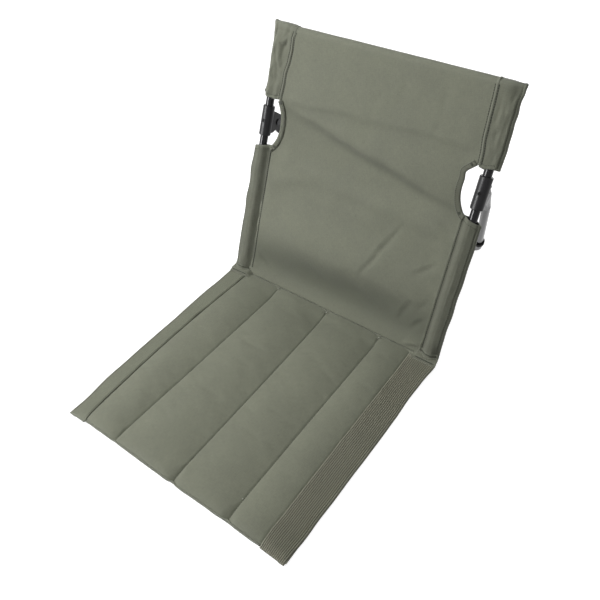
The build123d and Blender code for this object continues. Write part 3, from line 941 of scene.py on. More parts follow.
# short soft creases: two ends as (x, s), width, depth to the rear, and lean of the fold
foldLook = [
    ((96, 202), (30, 58), 4.5, 1.0, 0.9),
    ((158, 146), (124, 114), 4.5, 0.9, 0.8),
    ((134, 207), (167, 190), 6.0, 0.7, 0.4),
    ((137, 80), (117, 34), 5.0, 0.9, 0.7),
    ((97, 390), (103, 342), 4.5, 0.6, 0.5),
    ((103, 342), (94, 306), 4.5, 0.7, 0.5),
    ((40, 392), (36, 330), 6.0, 0.5, 0.3),
    ((10, 360), (-7, 332), 5.0, 0.5, 0.4),
    ((-160, 40), (-126, 20), 5.0, 0.9, 0.5),
    ((168, 62), (138, 26), 5.0, 1.0, 0.5),
    ((168, 94), (146, 64), 5.5, 0.8, 0.5),
    ((-60, 60), (-10, 44), 8.0, 0.7, -0.4),
    ((20, 64), (80, 42), 9.0, 0.8, -0.4),
]


def circleThrough(a, b, c):
    (ax, ay), (bx, by), (cx, cy) = a, b, c
    d = 2 * (ax * (by - cy) + bx * (cy - ay) + cx * (ay - by))
    ux = ((ax**2 + ay**2) * (by - cy) + (bx**2 + by**2) * (cy - ay) + (cx**2 + cy**2) * (ay - by)) / d
    uy = ((ax**2 + ay**2) * (cx - bx) + (bx**2 + by**2) * (ax - cx) + (cx**2 + cy**2) * (bx - ax)) / d
    return ux, uy, math.hypot(ax - ux, ay - uy)


cutCircle = {side: circleThrough(*points) for side, points in cutEdges.items()}
cutCorner = {1: (285.5, 8.0, 5.0), -1: (285.5, 8.0, 0.0)}  # rise, width and depth of a squarer upper corner


def along(points, at):  # read off a line of points
    return np.interp(at, *np.array(points, float).T)


def seamLine(side, s):  # where the hood's side seams run
    s = np.minimum(np.asarray(s, float), chair["barRise"])
    return along(hoodLook["seam"][side], s) + hoodLook["seamWave"][side] * ripple(s / 24, 4.0 + side, 121)


def hoodFoot(side, a):  # the hem of the hood's sides lifts to the outer edge
    return chair["hoodHem"] + along(hoodLook["foot"][side], a) + ripple(a * 3, side * 3 + 4.0, 91)


def sleeveTop(x):  # the slanting top of the lower sleeves
    slope = (chair["cutLowRise"] - chair["cutOuterRise"]) / (chair["halfWidth"] - chair["cutLow"])
    return chair["cutLowRise"] - (np.asarray(x, float) - chair["cutLow"]) * slope


def clothHalf(side, s):  # half width of the back cloth at a rise
    s = np.asarray(s, float)
    cx, cy, radius = cutCircle[side]
    rise, width, deeper = cutCorner[side]
    arc = cx - np.sqrt(np.clip(radius**2 - (s - cy) ** 2, 1, None)) - deeper * bump(s, rise, width)
    half = np.where(s < chair["cutLowRise"] - 1, chair["panelHalf"] + 0.3, arc - backLook["bindingTuck"])
    return np.where(s > chair["hoodHem"], seamLine(side, s) + 0.4, half)


def wave(keys, s):  # soft steps from one key to the next
    out = np.full_like(s, keys[-1][1])
    for (low, start), (high, end) in reversed(list(zip(keys, keys[1:]))):
        t = (1 - np.cos(math.pi * np.clip((s - low) / (high - low), 0, 1))) / 2
        out = np.where(s <= high, start + (end - start) * t, out)
    return out


def drapeLine(x):  # the long slanting drape below the hood
    x = np.asarray(x, float)
    return along(backLook["drape"], x) + backLook["drapeWave"] * ripple(x / 30, 4.4, 79)


def backShadePainted(x, y, z):  # painted shade: the hollow over the hinge and the long drape are darkened in colour
    s = (y - hingeY) * leanSin + (z - hingeZ) * leanCos
    crease = 1 / np.cosh(np.clip((s - drapeLine(x)) / backLook["drapeWidth"], -9, 9)) ** 2
    return backLook["paintedShade"] * bump(s, *backLook["shadePlace"]) + backLook["creaseShade"] * crease


def clothDepth(x, s):  # the front cloth's own n at a place, folds included
    x, s = np.broadcast_arrays(np.asarray(x, float), np.asarray(s, float))
    look = backLook
    top = chair["hoodHem"]
    hem = -look["hemRadius"]
    middle = wave(((0, hem), look["hollow"], look["roll"], look["sag"], look["hang"]), s)
    fall = 0.5 + 0.5 * np.tanh((s - drapeLine(x)) / look["drapeWidth"])  # the cloth comes forward to the hood
    middle = middle - (middle + chair["hoodDepth"]) * fall
    side = wave(((0, hem), (40, -0.6), (221, -0.2), (top, -chair["hoodDepth"])), s)
    across = np.clip(np.abs(x) / chair["panelHalf"], 0, 1)
    n = side + (middle - side) * (1 - across**2)
    taut = ease(chair["panelHalf"] + 2 - np.abs(x), 0, 22) * ease(s, 3, 20)
    hooded = ease(s, top - 6, top + 12)
    folds = np.zeros_like(n)
    for points, width, step in drapeLook:
        (firstX, firstS), lastX = points[0], points[-1][0]
        off = s - along(points, x) + 1.6 * ripple(x / 26, firstS / 9, 80)
        ends = ease(x, firstX - 6, firstX + 26) * ease(-x, -lastX - 6, -lastX + 26)
        folds -= ends * step / 2 * np.tanh(off / width) * np.exp(-(off / (7 * width)) ** 2)
    for (ax, ay), (bx, by), width, depth, tilt in foldLook:
        dx, dy = bx - ax, by - ay
        long = math.hypot(dx, dy)
        way = ((x - ax) * dx + (s - ay) * dy) / long
        off = (-(x - ax) * dy + (s - ay) * dx) / long
        off = off + 1.4 * ripple(way / 24, ax / 50.0 + 7, 81)
        reach = ease(way, -0.5 * width, 0.42 * long) * ease(long - way, -0.5 * width, 0.42 * long)
        tilted = tilt * off / width * np.exp(-(off / (1.3 * width)) ** 2)
        folds += reach * depth * (np.exp(-(off / width) ** 2) + tilted)
    wide, narrow = look["slack"]
    folds += wide * ripple(x / 46, s / 38, 82) + narrow * ripple(x / 19, s / 24, 83)
    ringX, ringS, radius, depth = look["ring"]
    folds += depth * bump(np.hypot(x - ringX, (s - ringS) * 1.3), radius, 3.0) * ease(s, 6, 14)
    edge = np.clip(chair["panelHalf"] - np.abs(x), 0, None)  # short puckers along the sleeve seams
    pull = look["seamPucker"] * ripple(s / 9, np.sign(x) * 5 + 9, 84) * np.exp(-edge / 9) * ease(s, 4, 16)
    arc = along(look["brow"], x)
    start = look["brow"][0][0]
    brow = ease(x, start, start + 12) * ease(-x, -172, -160) * np.exp(-np.clip(s - arc, 0, None) / 9)
    brow = look["browHeight"] * brow * (0.5 + 0.5 * np.tanh((s - arc) / 1.3))
    return n + folds * (0.25 + 0.75 * taut) * (1 - 0.35 * hooded) + pull * (1 - hooded) - brow


def makeBackCloth():
    look = backLook
    bar, deep = chair["barRise"], chair["hoodDepth"]
    rise = np.linspace(0, bar, round(bar / look["rowStep"]) + 1)
    share = np.linspace(-1, 1, look["columns"] + 1)

    def spread(s):
        right, left = clothHalf(1, s)[:, None], clothHalf(-1, s)[:, None]
        return np.where(share[None] > 0, right, left) * share[None]

    x = spread(rise)
    s = np.repeat(rise[:, None], len(share), 1)
    n = clothDepth(x, s)
    angle = np.radians(np.linspace(300, 90, 14))[:, None]  # rolled hem at the hinge end
    hemN = look["hemRadius"] * -np.sin(angle) * np.ones_like(share)
    hemS = look["hemRadius"] * np.cos(angle) * np.ones_like(share)
    hemX = (chair["panelHalf"] - 0.2) * share[None] * np.ones_like(hemN)
    over = np.radians(np.linspace(0, 180, 13)[1:])[:, None]
    overN = -deep * np.cos(over) + (n[-1][None] + deep) * np.cos(over / 2) ** 2
    overS = bar + deep * np.sin(over) + 0.35 * ripple(share[None] * 5, over, 86)
    back = np.linspace(bar, chair["hoodHem"] + 1, 34)[1:, None]
    drop = (bar - back) / (bar - chair["hoodHem"])
    backN = deep - look["rearSag"] * np.sin(math.pi * drop) * (1 - share[None] ** 2)
    backN = backN + 0.7 * ripple(share[None] * 4, back / 40, 87)
    backS = back * np.ones_like(share)
    overX, backX = np.repeat(spread(np.array([bar])), 12, 0), spread(back[:, 0])
    allX = np.concatenate([hemX, x[1:], overX, backX])
    allN = np.concatenate([hemN, n[1:], overN, backN])
    allS = np.concatenate([hemS, s[1:], overS, backS])
    middle = look["columns"] // 2
    run = lengthAlong(np.stack([allN[:, middle], allS[:, middle]], 1))
    weave = np.stack([allX, np.repeat(run[:, None], len(share), 1)], -1)
    piece = newPiece("backCloth", onBack(allX, allN, allS), gridFaces(*allX.shape), weave, oliveCloth)
    thicken(piece, look["thickness"])
    tidyFaces(piece)
    # painted shade in the folds, over the hollow and along the drape
    markWearShade(piece, 3, backShadePainted)
    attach(piece, "backrest")
    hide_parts("back_panel", "head_hood")
    print("back cloth", len(piece.data.vertices), "points, length", round(float(run[-1]), 1))
    return piece


backCloth = makeBackCloth()


# hood sides: cloth round the posts above the cut-outs, with a flat outer edge and empty corners
def frameHalf(x, s):  # half thickness that clears the frame's posts, bends and top bar
    post, bar, bend = chair["postX"], chair["barRise"], chair["bendRadius"]
    x, s = np.broadcast_arrays(np.asarray(x, float), np.asarray(s, float))
    offBend = np.hypot(x - (post - bend), s - (bar - bend)) - bend
    off = np.where(s < bar - bend, x - post, np.where(x > post - bend, offBend, s - bar))
    tube = np.sqrt(np.clip(tubeRadius**2 - off**2, 0, None))
    return np.where(np.abs(off) < tubeRadius, tube + 1.0, 0)


def sewnFront(x, outer, look, deep):  # stays full past the post, up to a flat strip sewn along the outer edge
    full = deep - look["fall"] * np.clip((x - chair["postX"] - 1.5) / (outer - chair["postX"] - 6.5), 0, 1)
    full = full - (full - look["strip"]) * ease(x - outer, *look["stripStep"])
    return full - (full - look["edge"]) * ease(x - outer, look["stripEnd"], 0)


def foldedCloth(name, side, layers, width, material, look):  # two layers, joined along the outer edge
    both = np.concatenate([layers[0], layers[1][:, 1:]], 1)
    rows, cols = both.shape[:2]
    weave = np.stack([np.repeat(np.linspace(0, width, cols)[None], rows, 0), both[..., 2]], -1)
    points = onBack(side * both[..., 0], both[..., 1], both[..., 2])
    piece = newPiece(name, points, gridFaces(rows, cols), weave, material)
    tidyFaces(piece, 0.02)
    thicken(piece, look["thickness"])
    tidyFaces(piece)
    return markWearShade(piece, 2)


def makeHoodBand(side, name):
    look = hoodLook
    low, bar, deep = chair["hoodHem"], chair["barRise"], chair["hoodDepth"] + look["clear"]
    up = np.linspace(0, 1, round((bar + deep - low) / look["rowStep"]) + 1)[:, None]
    across = np.linspace(0, 1, look["columns"])[None]
    layers = []
    for layer in (-1, 1):
        a = across if layer < 0 else across[:, ::-1]
        top = bar + deep + along(look["top"][side], a)
        foot = hoodFoot(side, a)
        s = foot + (top - foot) * up
        inner = seamLine(side, s) - 0.5
        outer = along(look["outer"][side], s) + 0.6 * ripple(s / 12, 6.0 + side, 92)
        x = inner + (outer - inner) * a
        if side > 0 and layer < 0:
            body = sewnFront(x, outer, look, deep)
        else:  # falls from the post to the flat edge
            body = deep - (deep - look["edge"]) * ease(x, chair["postX"] + 2.0, chair["postX"] + 11.5)
        crest = np.sqrt(np.clip(1 - np.clip((s - bar) / (top - bar), 0, 1) ** 2, 0, 1))
        thick = body * crest * (1 - look["emptyCorner"] * ease(a, 0.3, 0.9) * ease(s, bar - 30, bar - 4))
        creased = ripple(a * 4 + 3, s / 19, 93 + layer) + 0.6 * ripple(a * 7, s / 11, 95 + layer + side)
        loose = crest * ease(a, 0.08, 0.35) * (1 - 0.7 * ease(a, 0.9, 1.0))
        thick = thick + look["crumple"][side] * creased * loose
        if side < 0 and layer < 0:  # a crease under the top and a hollow beside the post
            crease = bump(s, bar + deep - 8, 2.0) * ease(a, 0.08, 0.3) * ease(-a, -0.95, -0.7)
            depth, atA, wideA, atS, wideS = look["dent"]
            thick = thick - look["topCrease"] * crease - depth * bump(a, atA, wideA) * bump(s, atS, wideS)
        thick = np.maximum(thick, 0.55 * np.clip((1 - a) * 30, 0, 1) * np.clip((1 - up) * 40, 0, 1))
        thick = np.maximum(thick, frameHalf(x, s))
        thick[:, np.argmax(a)] = 0  # closed at the outer edge and along the top
        thick[-1] = 0
        layers.append(np.stack([x, layer * thick, s], -1))
    piece = foldedCloth(name, side, layers, 80, hoodShadedCloth[side], look)
    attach(piece, "backrest")
    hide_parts("head_hood")
    return piece


hoodBands = {side: makeHoodBand(side, f"hoodBand_{word}") for side, word in sideNames.items()}


# lower sleeves: cloth sewn flat at both edges, with the post standing out between
sleeveLook = {
    "inner": {1: 170.6, -1: 166.4}, "footIn": {1: 0.0, -1: 3.4}, "flank": {1: 12.6, -1: 17.0}, "outer": 199.8,
    "outerFlank": 12.6, "overPost": 2.6, "deep": 7.7, "edge": 0.7,
    "fall": 2.6, "strip": 3.4, "stripStep": (-5.0, -3.5), "stripEnd": -1.2, "stripFoot": (10, 30),
    "start": 1.0, "thickness": 1.2, "columns": 38, "rowStep": 2.6, "flatWidth": {1: 0.069, -1: 0.075},
    "sway": {1: 0.7, -1: 1.3}, "crumple": (0.55, 0.35), "hem": 0.5, "footFold": 0.5,
}


def sleeveHalf(x, side):  # half thickness of the sleeve across its width
    look = sleeveLook
    off = np.asarray(x, float) - chair["postX"]
    inward = ease(-off, look["overPost"], look["flank"][side])
    fall = np.where(off < 0, inward, ease(off, look["overPost"], look["outerFlank"]))
    return look["edge"] + (look["deep"] - look["edge"]) * (1 - fall)


def sleeveSeam(side, s):  # the inner seam, which runs in towards the foot
    look = sleeveLook
    down = np.clip(1 - np.asarray(s, float) / chair["cutLowRise"], 0, 1)
    return look["inner"][side] - look["footIn"][side] * down


def sleeveFront(x, s, side):  # half thickness of the front, with the sewn strip from a little above the foot
    look = sleeveLook
    plain = sleeveHalf(x, side)
    full = sewnFront(x, look["outer"], look, look["deep"])
    return np.where(x > chair["postX"], plain + (full - plain) * ease(s, *look["stripFoot"]), plain)


def makeSleeve(side, name, node):
    look = sleeveLook
    across = np.linspace(0, 1, look["columns"])[None]
    up = np.linspace(0, 1, round(chair["cutOuterRise"] / look["rowStep"]))[:, None]
    coarse, fine = look["crumple"]
    layers = []
    for layer in (-1, 1):
        a = across if layer < 0 else across[:, ::-1]
        plain = look["inner"][side] + (look["outer"] - look["inner"][side]) * a
        top = sleeveTop(plain)
        s = look["start"] + (top - look["start"]) * up
        x = plain + look["sway"][side] * ripple(s / 26, 5.0 + side, 101) * a
        x = x + (sleeveSeam(side, s) - look["inner"][side]) * (1 - a)
        body = sleeveFront(plain, s, side) if layer < 0 else sleeveHalf(plain, side)
        inside = np.clip(np.sin(math.pi * a), 0, 1)
        thick = body + coarse * ripple(a * 5 + 2, s / 15, 102 + layer + side) * inside ** 0.7
        thick = thick + fine * ripple(a * 9 + 2, s / 60, 105 + side) * inside
        thick = thick + look["hem"] * inside ** 0.5 * ease(s, top - 8.5, top - 7.5)
        thick = thick + look["footFold"] * bump(s, 13, 6) * inside
        thick = np.maximum(thick, body - 0.35) * np.clip(inside * 9, 0, 1)
        layers.append(np.stack([x, layer * thick, s], -1))
    piece = foldedCloth(name, side, layers, 64, sleeveShadedCloth, look)
    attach(piece, "backrest")
    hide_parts(node)
    return piece


sleeves = {}
for side, word in sideNames.items():
    sleeves[side] = makeSleeve(side, f"sleeveShadedCloth_{word}", f"sleeve_{word}")


# hinge corners: the webbing's end turns up in a pleat and is sewn over the foot of each sleeve
cornerLook = {
    "inner": {1: 163.0, -1: 160.5}, "outer": 199.3, "flare": {1: 4.2, -1: 2.2},
    "thickness": 0.9, "columns": 34,
    "ribs": 11, "ribHeight": 0.35, "clear": 1.5, "overSleeve": 1.25,
    "round": ((-4, 0.85), (10, 0.6), (22, 0.4)),  # degrees round the foot of the sleeve, and the flare there
    "upSleeve": ((3.0, 0.25), (6.5, 0.1), (9.5, 0.0)),  # rises on the sleeve, and the flare there
}


def makeCorner(side, name):
    look = cornerLook
    across = np.linspace(0, 1, look["columns"])
    x = look["inner"][side] + (look["outer"] - look["inner"][side]) * across
    hold = ease(x, look["inner"][side], look["inner"][side] + 7)  # lies flat on the pad at its inner end
    inX, outX, band, low = (float(v) for v in webbingTop(side, chair["padRear"] - 4))
    share = np.clip((x - inX) / (outX - inX), 0, 1)
    floor = band + (low - band) * share ** 1.3 + webbingLook["thickness"] + 0.7
    floor = floor + edgeLift(side * x, chair["padRear"] - 2)
    for k, start in enumerate(x):
        under = padTop(side * start, chair["padRear"] - 0.5)
        floor[k] = max(floor[k], under[0][2] + 0.2) if len(under) else floor[k]
    reach = np.maximum(sleeveHalf(x, side) + look["clear"], 3.2)
    same = np.ones_like(x)
    # a row is its place before the hinge, its height and its flare: first the flat end and the pleat
    rows = [(-16.0 * same, floor - 0.1, 1.0), (-12.5 * same, floor + 0.2 * hold, 1.0),
            (-11.8 + 1.2 * hold, floor + 1.4 * hold, 1.0),
            (-11.1 - 0.3 * hold, floor + 2.6 * hold, 1.0), (-10.4 * same, floor + 3.1 * hold, 0.95)]
    for turn, flare in look["round"]:
        y, z = -reach * math.cos(math.radians(turn)), hingeZ + reach * math.sin(math.radians(turn))
        rows.append((np.maximum(y, -10.2), np.maximum(z, floor + (3.2 + (turn + 4) * 0.08) * hold), flare))
    for s, flare in look["upSleeve"]:
        out = sleeveHalf(x, side) + look["overSleeve"]
        rows.append((s * leanSin - out * leanCos, hingeZ + s * leanCos + out * leanSin, flare))
    rib = 0.6 * look["ribHeight"] * np.abs(np.sin(math.pi * look["ribs"] * across)) ** webbingLook["ribRound"]
    points = []
    for y, z, flare in rows:
        wide = x + look["flare"][side] * flare * across ** 2
        points.append(np.stack([side * wide, hingeY + y - rib, z + rib], -1))
    points = np.array(points)
    weave = np.stack(np.meshgrid(x, np.linspace(0, 30, len(rows))), -1)
    piece = newPiece(name, points, gridFaces(*points.shape[:2]), weave, cornerShadedCloth)
    refine(piece, 2)
    thicken(piece, look["thickness"])
    tidyFaces(piece)
    markWearShade(piece, 1)
    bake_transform(piece)
    return piece


corners = {}
for side, word in sideNames.items():
    corners[side] = makeCorner(side, f"hingeCorner_{word}")
print("hood, sleeves and corners ready")


# binding tape folded over the cut-out's edge
bindingLook = {"width": 8.0, "half": 1.75, "thickness": 0.8, "stations": 46, "tail": 6, "gather": 0.35}


# the cut-out's inner edge from its top to its foot, and the way into the cloth
def cutoutLine(side, count):
    cx, cy, radius = cutCircle[side]
    topX, topS = cutEdges[side][0]
    lowX, lowS = cutEdges[side][-1]
    high = math.atan2(topS + 0.5 - cy, topX - cx)
    low = math.atan2(lowS - cy, lowX - cx)
    turn = np.linspace(high % (2 * math.pi), low % (2 * math.pi), count)
    line = np.stack([cx + radius * np.cos(turn), cy + radius * np.sin(turn)], 1)
    rise, width, deeper = cutCorner[side]
    line[:, 0] -= deeper * bump(line[:, 1], rise, width)
    inward = np.stack([np.cos(turn), np.sin(turn)], 1)
    tail = np.linspace(0.2, 1, bindingLook["tail"])[:, None]
    foot = line[-1] + tail * (np.array([lowX + 4.0, lowS - 2.5]) - line[-1])
    footIn = inward[-1][None] * (1 - tail) + np.array([-0.35, -0.94]) * tail
    line, inward = np.concatenate([line, foot]), np.concatenate([inward, footIn])
    return line, unit(inward)


def makeBinding(side, name, node):
    look = bindingLook
    line, inward = cutoutLine(side, look["stations"])
    wide, half = look["width"], look["half"]
    front = [(wide, -half), (wide * 0.8, -half - 0.15), (wide * 0.5, -half - 0.25)]
    front.append((wide * 0.25, -half - 0.2))
    fold = [(0.9, -half), (0.1, -half * 0.75), (-0.45, 0.0), (0.1, half * 0.75), (0.9, half)]
    profile = front + fold + [(wide * 0.4, half + 0.2), (wide, half)]
    run = lengthAlong(line)
    points, weave = [], []
    ends = ease(run, -1, 9) * ease(run[-1] - run, -1, 9)
    for k, ((x, s), (ix, iy)) in enumerate(zip(line, inward)):
        row = []
        gather = look["gather"] * float(ripple(run[k] / 4.2, 3.0 + side, 111)) * (1.6 - 0.6 * ends[k])
        for inn, off in profile:
            px, ps = x + ix * inn, s + iy * inn
            base = float(clothDepth(side * px, min(ps, chair["hoodHem"])))
            row.append((side * px, base + off * (1 + 0.25 * (1 - ends[k])) + gather * min(1, inn / 3), ps))
        points.append(row)
        weave.append([(inn + (20 if off > 0 else 0), run[k]) for inn, off in profile])
    points, weave = np.array(points), np.array(weave)
    placed = onBack(points[..., 0], points[..., 1], points[..., 2])
    piece = newPiece(name, placed, gridFaces(*points.shape[:2]), weave, bindingCloth)
    refine(piece, 1)
    thicken(piece, look["thickness"])
    tidyFaces(piece)
    markWearShade(piece, 1)
    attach(piece, "backrest")
    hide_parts(node)
    return piece


bindings = {}
for side, word in sideNames.items():
    bindings[side] = makeBinding(side, f"cutoutBinding_{word}", f"cutout_binding_{word}")
print("bindings ready")


# raised lapped seams between the hood's front and its sides
pipingLook = {"width": 2.0, "height": 1.4, "step": 3.0, "sides": 10, "uneven": 0.12}


def makePiping(side, name):
    look = pipingLook
    low, bar, deep = chair["hoodHem"] + 0.5, chair["barRise"], chair["hoodDepth"]
    up = np.linspace(low, bar, round((bar - low) / look["step"]))
    over = np.radians(np.linspace(0, 180, 15)[1:])
    down = np.linspace(bar, low, 30)[1:]
    outN = np.concatenate([np.full(len(up), -1.0), -np.cos(over), np.full(len(down), 1.0)])
    outS = np.concatenate([np.zeros(len(up)), np.sin(over), np.zeros(len(down))])
    n = deep * outN
    s = np.concatenate([up, bar + deep * np.sin(over), down])
    turn = np.linspace(0, 2 * math.pi, look["sides"], endpoint=False)
    run = lengthAlong(np.stack([n, s], 1))
    x = seamLine(side, s)[:, None] + look["width"] * np.cos(turn)[None]
    uneven = 1 + look["uneven"] * ripple(run / 5, 2.0, 122)
    rise = 0.25 + look["height"] * np.sin(turn)[None] * uneven[:, None]
    points = onBack(side * x, n[:, None] + outN[:, None] * rise, s[:, None] + outS[:, None] * rise)
    weave = np.stack(np.meshgrid(np.linspace(0, 11, look["sides"]), run), -1)
    piece = newPiece(name, points, tubeFaces(*x.shape), weave, hoodShadedCloth[side])
    tidyFaces(piece)
    markWearShade(piece, 1)
    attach(piece, "backrest")


for side, word in sideNames.items():
    makePiping(side, f"hoodSeam_{word}")


# sewing lines
sewLook = {
    "seams": dict(pitch=2.8, length=2.7, radius=0.42), "corner": dict(pitch=2.9, length=2.9, radius=0.7),
    "tab": dict(pitch=2.9, length=2.9, radius=0.75), "binding": dict(pitch=2.8, length=2.2),
    "tack": dict(pitch=7.9, length=6.6), "hood": dict(length=3.0, radius=0.55),
    "sleeve": {1: dict(length=3.2, radius=0.6), -1: dict(length=3.2, radius=0.9)},
    "band": {1: dict(length=3.0, radius=0.85), -1: dict(length=3.0, radius=0.55)},
    "bandOff": {1: 2.4, -1: 2.8}, "sleeveOff": {1: 4.0, -1: 2.4},  # how far in from an edge
    "webbingIn": 2.4, "webbingOut": 3.0, "looseSway": ((2, 1.0), (3, -0.7), (4, 0.8)), "looseRadius": 0.42,
    "looseLine": [(0, -2, -0.5), (0.4, 0, 0.9), (1.6, 1.2, 2.4), (3.6, 1.6, 3.6), (5.6, 1.4, 3.2)],
}


def sewSeatTop(piece, x, y, **stitch):
    starts = np.stack(np.broadcast_arrays(np.asarray(x, float), y, castFrom["above"]), -1)
    sew("seat", *castOn(piece, starts, (0, 0, -1)), **stitch)


def sewSeatUnder(x, y):
    starts = np.stack(np.broadcast_arrays(np.asarray(x, float), y, castFrom["below"]), -1)
    sew("seat", *castOn(seatBase, starts, (0, 0, 1)))


def sewFront(pieces, x, s, **stitch):
    sew("backrest", *castOn(pieces, onBack(x, castFrom["front"], s), (0, leanCos, -leanSin)), **stitch)


def sewSeat():
    look = sewLook
    ys = np.linspace(chair["front"] + 5, chair["padRear"] - 2, 180)
    for k in (2, 3, 4):
        sewSeatTop(seatPad, runX(k, ys), ys)
    sewSeatTop(seatPad, runX(1, ys) + 1.3, ys, **look["seams"])
    for side in (-1, 1):
        inner, outer = webbingTop(side, ys)[:2]
        if side < 0:
            sewSeatTop(webbing[side], side * (inner + look["webbingIn"]), ys)
        sewSeatTop(webbing[side], side * (outer - look["webbingOut"]), ys)
        xs = side * np.linspace(169, chair["halfWidth"] + 0.5, 34)
        sewSeatTop(corners[side], xs, hingeY - 12.2, **look["corner"])
    for k, sway in look["looseSway"]:
        foot = padTop(float(runX(k, hingeY)), hingeY - 7.5)[0]
        looseThread("seat", foot + np.array(look["looseLine"]) * (sway, 1, 1), look["looseRadius"])
        knots.append(foot + (0, -0.4, 0.5))
    spot = padTop(float(runX(4, hingeY - 345)) - 1.5, hingeY - 345)[0]
    knots.append(spot + (0, 0, 0.3))
    base = baseLook["half"] - 5
    for x in (-base, base):
        sewSeatUnder(x, ys)
    for y in (chair["front"] + 8, chair["padRear"] - 6):
        sewSeatUnder(np.linspace(-base, base, 180), y)


def sewBackSide(side):
    look, inner, outer = sewLook, sleeveLook["inner"][side], sleeveLook["outer"]
    s = np.linspace(10, chair["cutLowRise"] - 3, 120)
    seam = sleeveSeam(side, s) + 0.9
    sewFront((sleeves[side], backCloth), side * seam, s, **look["sleeve"][side])
    sewFront(sleeves[side], side * (outer - look["sleeveOff"][side]), s[:-6])
    x = np.linspace(inner + 2, outer - 2.5, 24)
    sewFront(sleeves[side], side * x, sleeveTop(x) - 6.5)
    x = np.linspace(inner, outer - 0.5, 30)
    sewFront(corners[side], side * x, 6.4, **look["tab"])
    s = np.linspace(chair["hoodHem"] + 2, chair["barRise"] + 2, 60)
    line = seamLine(side, s)
    sewFront(backCloth, side * (line - 2.8), s, **look["hood"])
    sewFront(hoodBands[side], side * (line + look["bandOff"][side]), s, **look["band"][side])
    sewFront(hoodBands[side], side * (along(hoodLook["outer"][side], s) - 3.2), s)
    x = np.linspace(float(line[0]) + 4, 194.5, 26)
    foot = hoodFoot(side, (x - line[0]) / (199.5 - line[0]))
    sewFront(hoodBands[side], side * x, foot + 5.5)
    line, inward = cutoutLine(side, 60)
    edge = line + inward * 6.4
    sewFront(bindings[side], side * edge[:, 0], edge[:, 1], **look["binding"])
    for at in (3, 58):  # bar tacks at the ends of the binding
        way = np.array([-inward[at][1], inward[at][0]])
        for step in np.arange(-2.0, 2.1, 0.8):
            ends = line[at] + inward[at] * np.linspace(0.8, 8.6, 12)[:, None] + way * step
            sewFront(bindings[side], side * ends[:, 0], ends[:, 1], **look["tack"])


def sewBack():
    for side in (-1, 1):
        sewBackSide(side)
    starts = onBack(np.linspace(-150, 158, 150), castFrom["rear"], chair["hoodHem"] + 8.0)
    sew("backrest", *castOn(backCloth, starts, (0, -leanCos, leanSin)))


def makeKnots():  # the pale ends of the seam threads, tied off at the hinge
    ball = bmesh.new()
    for place in knots:
        spot = Matrix.Translation(Vector(place * mm)) @ Matrix.Diagonal((1.0, 0.8, 0.7, 1.0))
        bmesh.ops.create_icosphere(ball, subdivisions=2, radius=mm, matrix=spot)
    mesh = bpy.data.meshes.new("seamKnots")
    ball.to_mesh(mesh)
    ball.free()
    mesh.materials.append(paleThread)
    mesh.shade_smooth()
    piece = bpy.data.objects.new("seamKnots", mesh)
    scene.collection.objects.link(piece)
    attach(piece, "seat")


sewSeat()
sewBack()
makeKnots()
sewnPiece("seatSewing", "seat")
sewnPiece("backSewing", "backrest")


# hard parts keep their own solids and get their finishes
blackPaint = ((0.008, 0.008, 0.009), (0.013, 0.013, 0.014))
blackMoulding = ((0.010, 0.010, 0.011), (0.017, 0.017, 0.0185))
darkSteel = ((0.03, 0.03, 0.031), (0.05, 0.05, 0.052))
finishes = {
    "black_tube": hardMaterial("glossBlackTube", *blackPaint, 0.12, 900.0, 0.00002, gloss=0.2),
    "black_plastic": hardMaterial("satinBlackMoulding", *blackMoulding, 0.34, 2600.0, 0.00006, gloss=0.2),
    "leg": hardMaterial("glossBlackLeg", *blackPaint, 0.14, 900.0, 0.00002, gloss=0.2),
    "black_screw": hardMaterial("blackScrew", grey(0.006), grey(0.01), 0.5, 1500.0, 0.00004, gloss=0.06),
    "rivet_steel": hardMaterial("darkRivet", *darkSteel, 0.3, 1800.0, 0.00004, metallic=1.0),
    "black_rubber": hardMaterial("blackRubber", grey(0.01), grey(0.018), 0.62, 2200.0, 0.0001, gloss=0.08),
}
hardNodes = {
    "black_tube": ["back_frame"],
    "leg": ["rear_leg_tube"],
    "black_plastic": ["post_plug_left", "post_plug_right", "bracket_left", "bracket_right", "pivot_washers"],
    "black_screw": ["bracket_screws"],
    "rivet_steel": ["pivot_rivets"],
    "black_rubber": ["leg_ring_left", "leg_ring_right"],
}
for finish, names in hardNodes.items():
    for name in names:
        nodes[name].data.materials.clear()
        nodes[name].data.materials.append(finishes[finish])


# fuller rubber rings over the plain ones on the leg
ringLook = {"length": 15.0, "radius": 9.1, "bore": 6.45, "round": 2.4, "stations": 48}


def makeRing(name, node):
    look = ringLook
    place = np.array([nodes[node].matrix_world @ v.co for v in nodes[node].data.vertices]) / mm
    axis = np.linalg.svd(place - place.mean(0), full_matrices=False)[2][2]
    run = place @ axis
    middle = place.mean(0) + axis * ((run.min() + run.max()) / 2 - run.mean())
    first = np.cross(axis, (1.0, 0.0, 0.0))
    first /= np.linalg.norm(first)
    other = np.cross(axis, first)
    half, far, soft = look["length"] / 2, look["radius"], look["round"]
    turn = np.radians(np.linspace(0, 90, 7))
    rising = [(-half + soft - soft * math.cos(t), far - soft + soft * math.sin(t)) for t in turn]
    falling = [(-a, r) for a, r in rising[::-1]]
    profile = np.array([(-half, look["bore"])] + rising + falling + [(half, look["bore"])])
    angle = np.linspace(0, 2 * math.pi, look["stations"] + 1)[:, None, None]
    out = np.cos(angle) * first + np.sin(angle) * other
    points = middle + profile[None, :, :1] * axis + profile[None, :, 1:] * out
    rows, cols = points.shape[:2]
    weave = np.stack(np.meshgrid(np.arange(float(cols)), np.arange(float(rows))), -1)
    piece = newPiece(name, points, tubeFaces(rows, cols, capped=False), weave, finishes["black_rubber"])
    tidyFaces(piece, 0.02)
    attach(piece, "rear_leg")


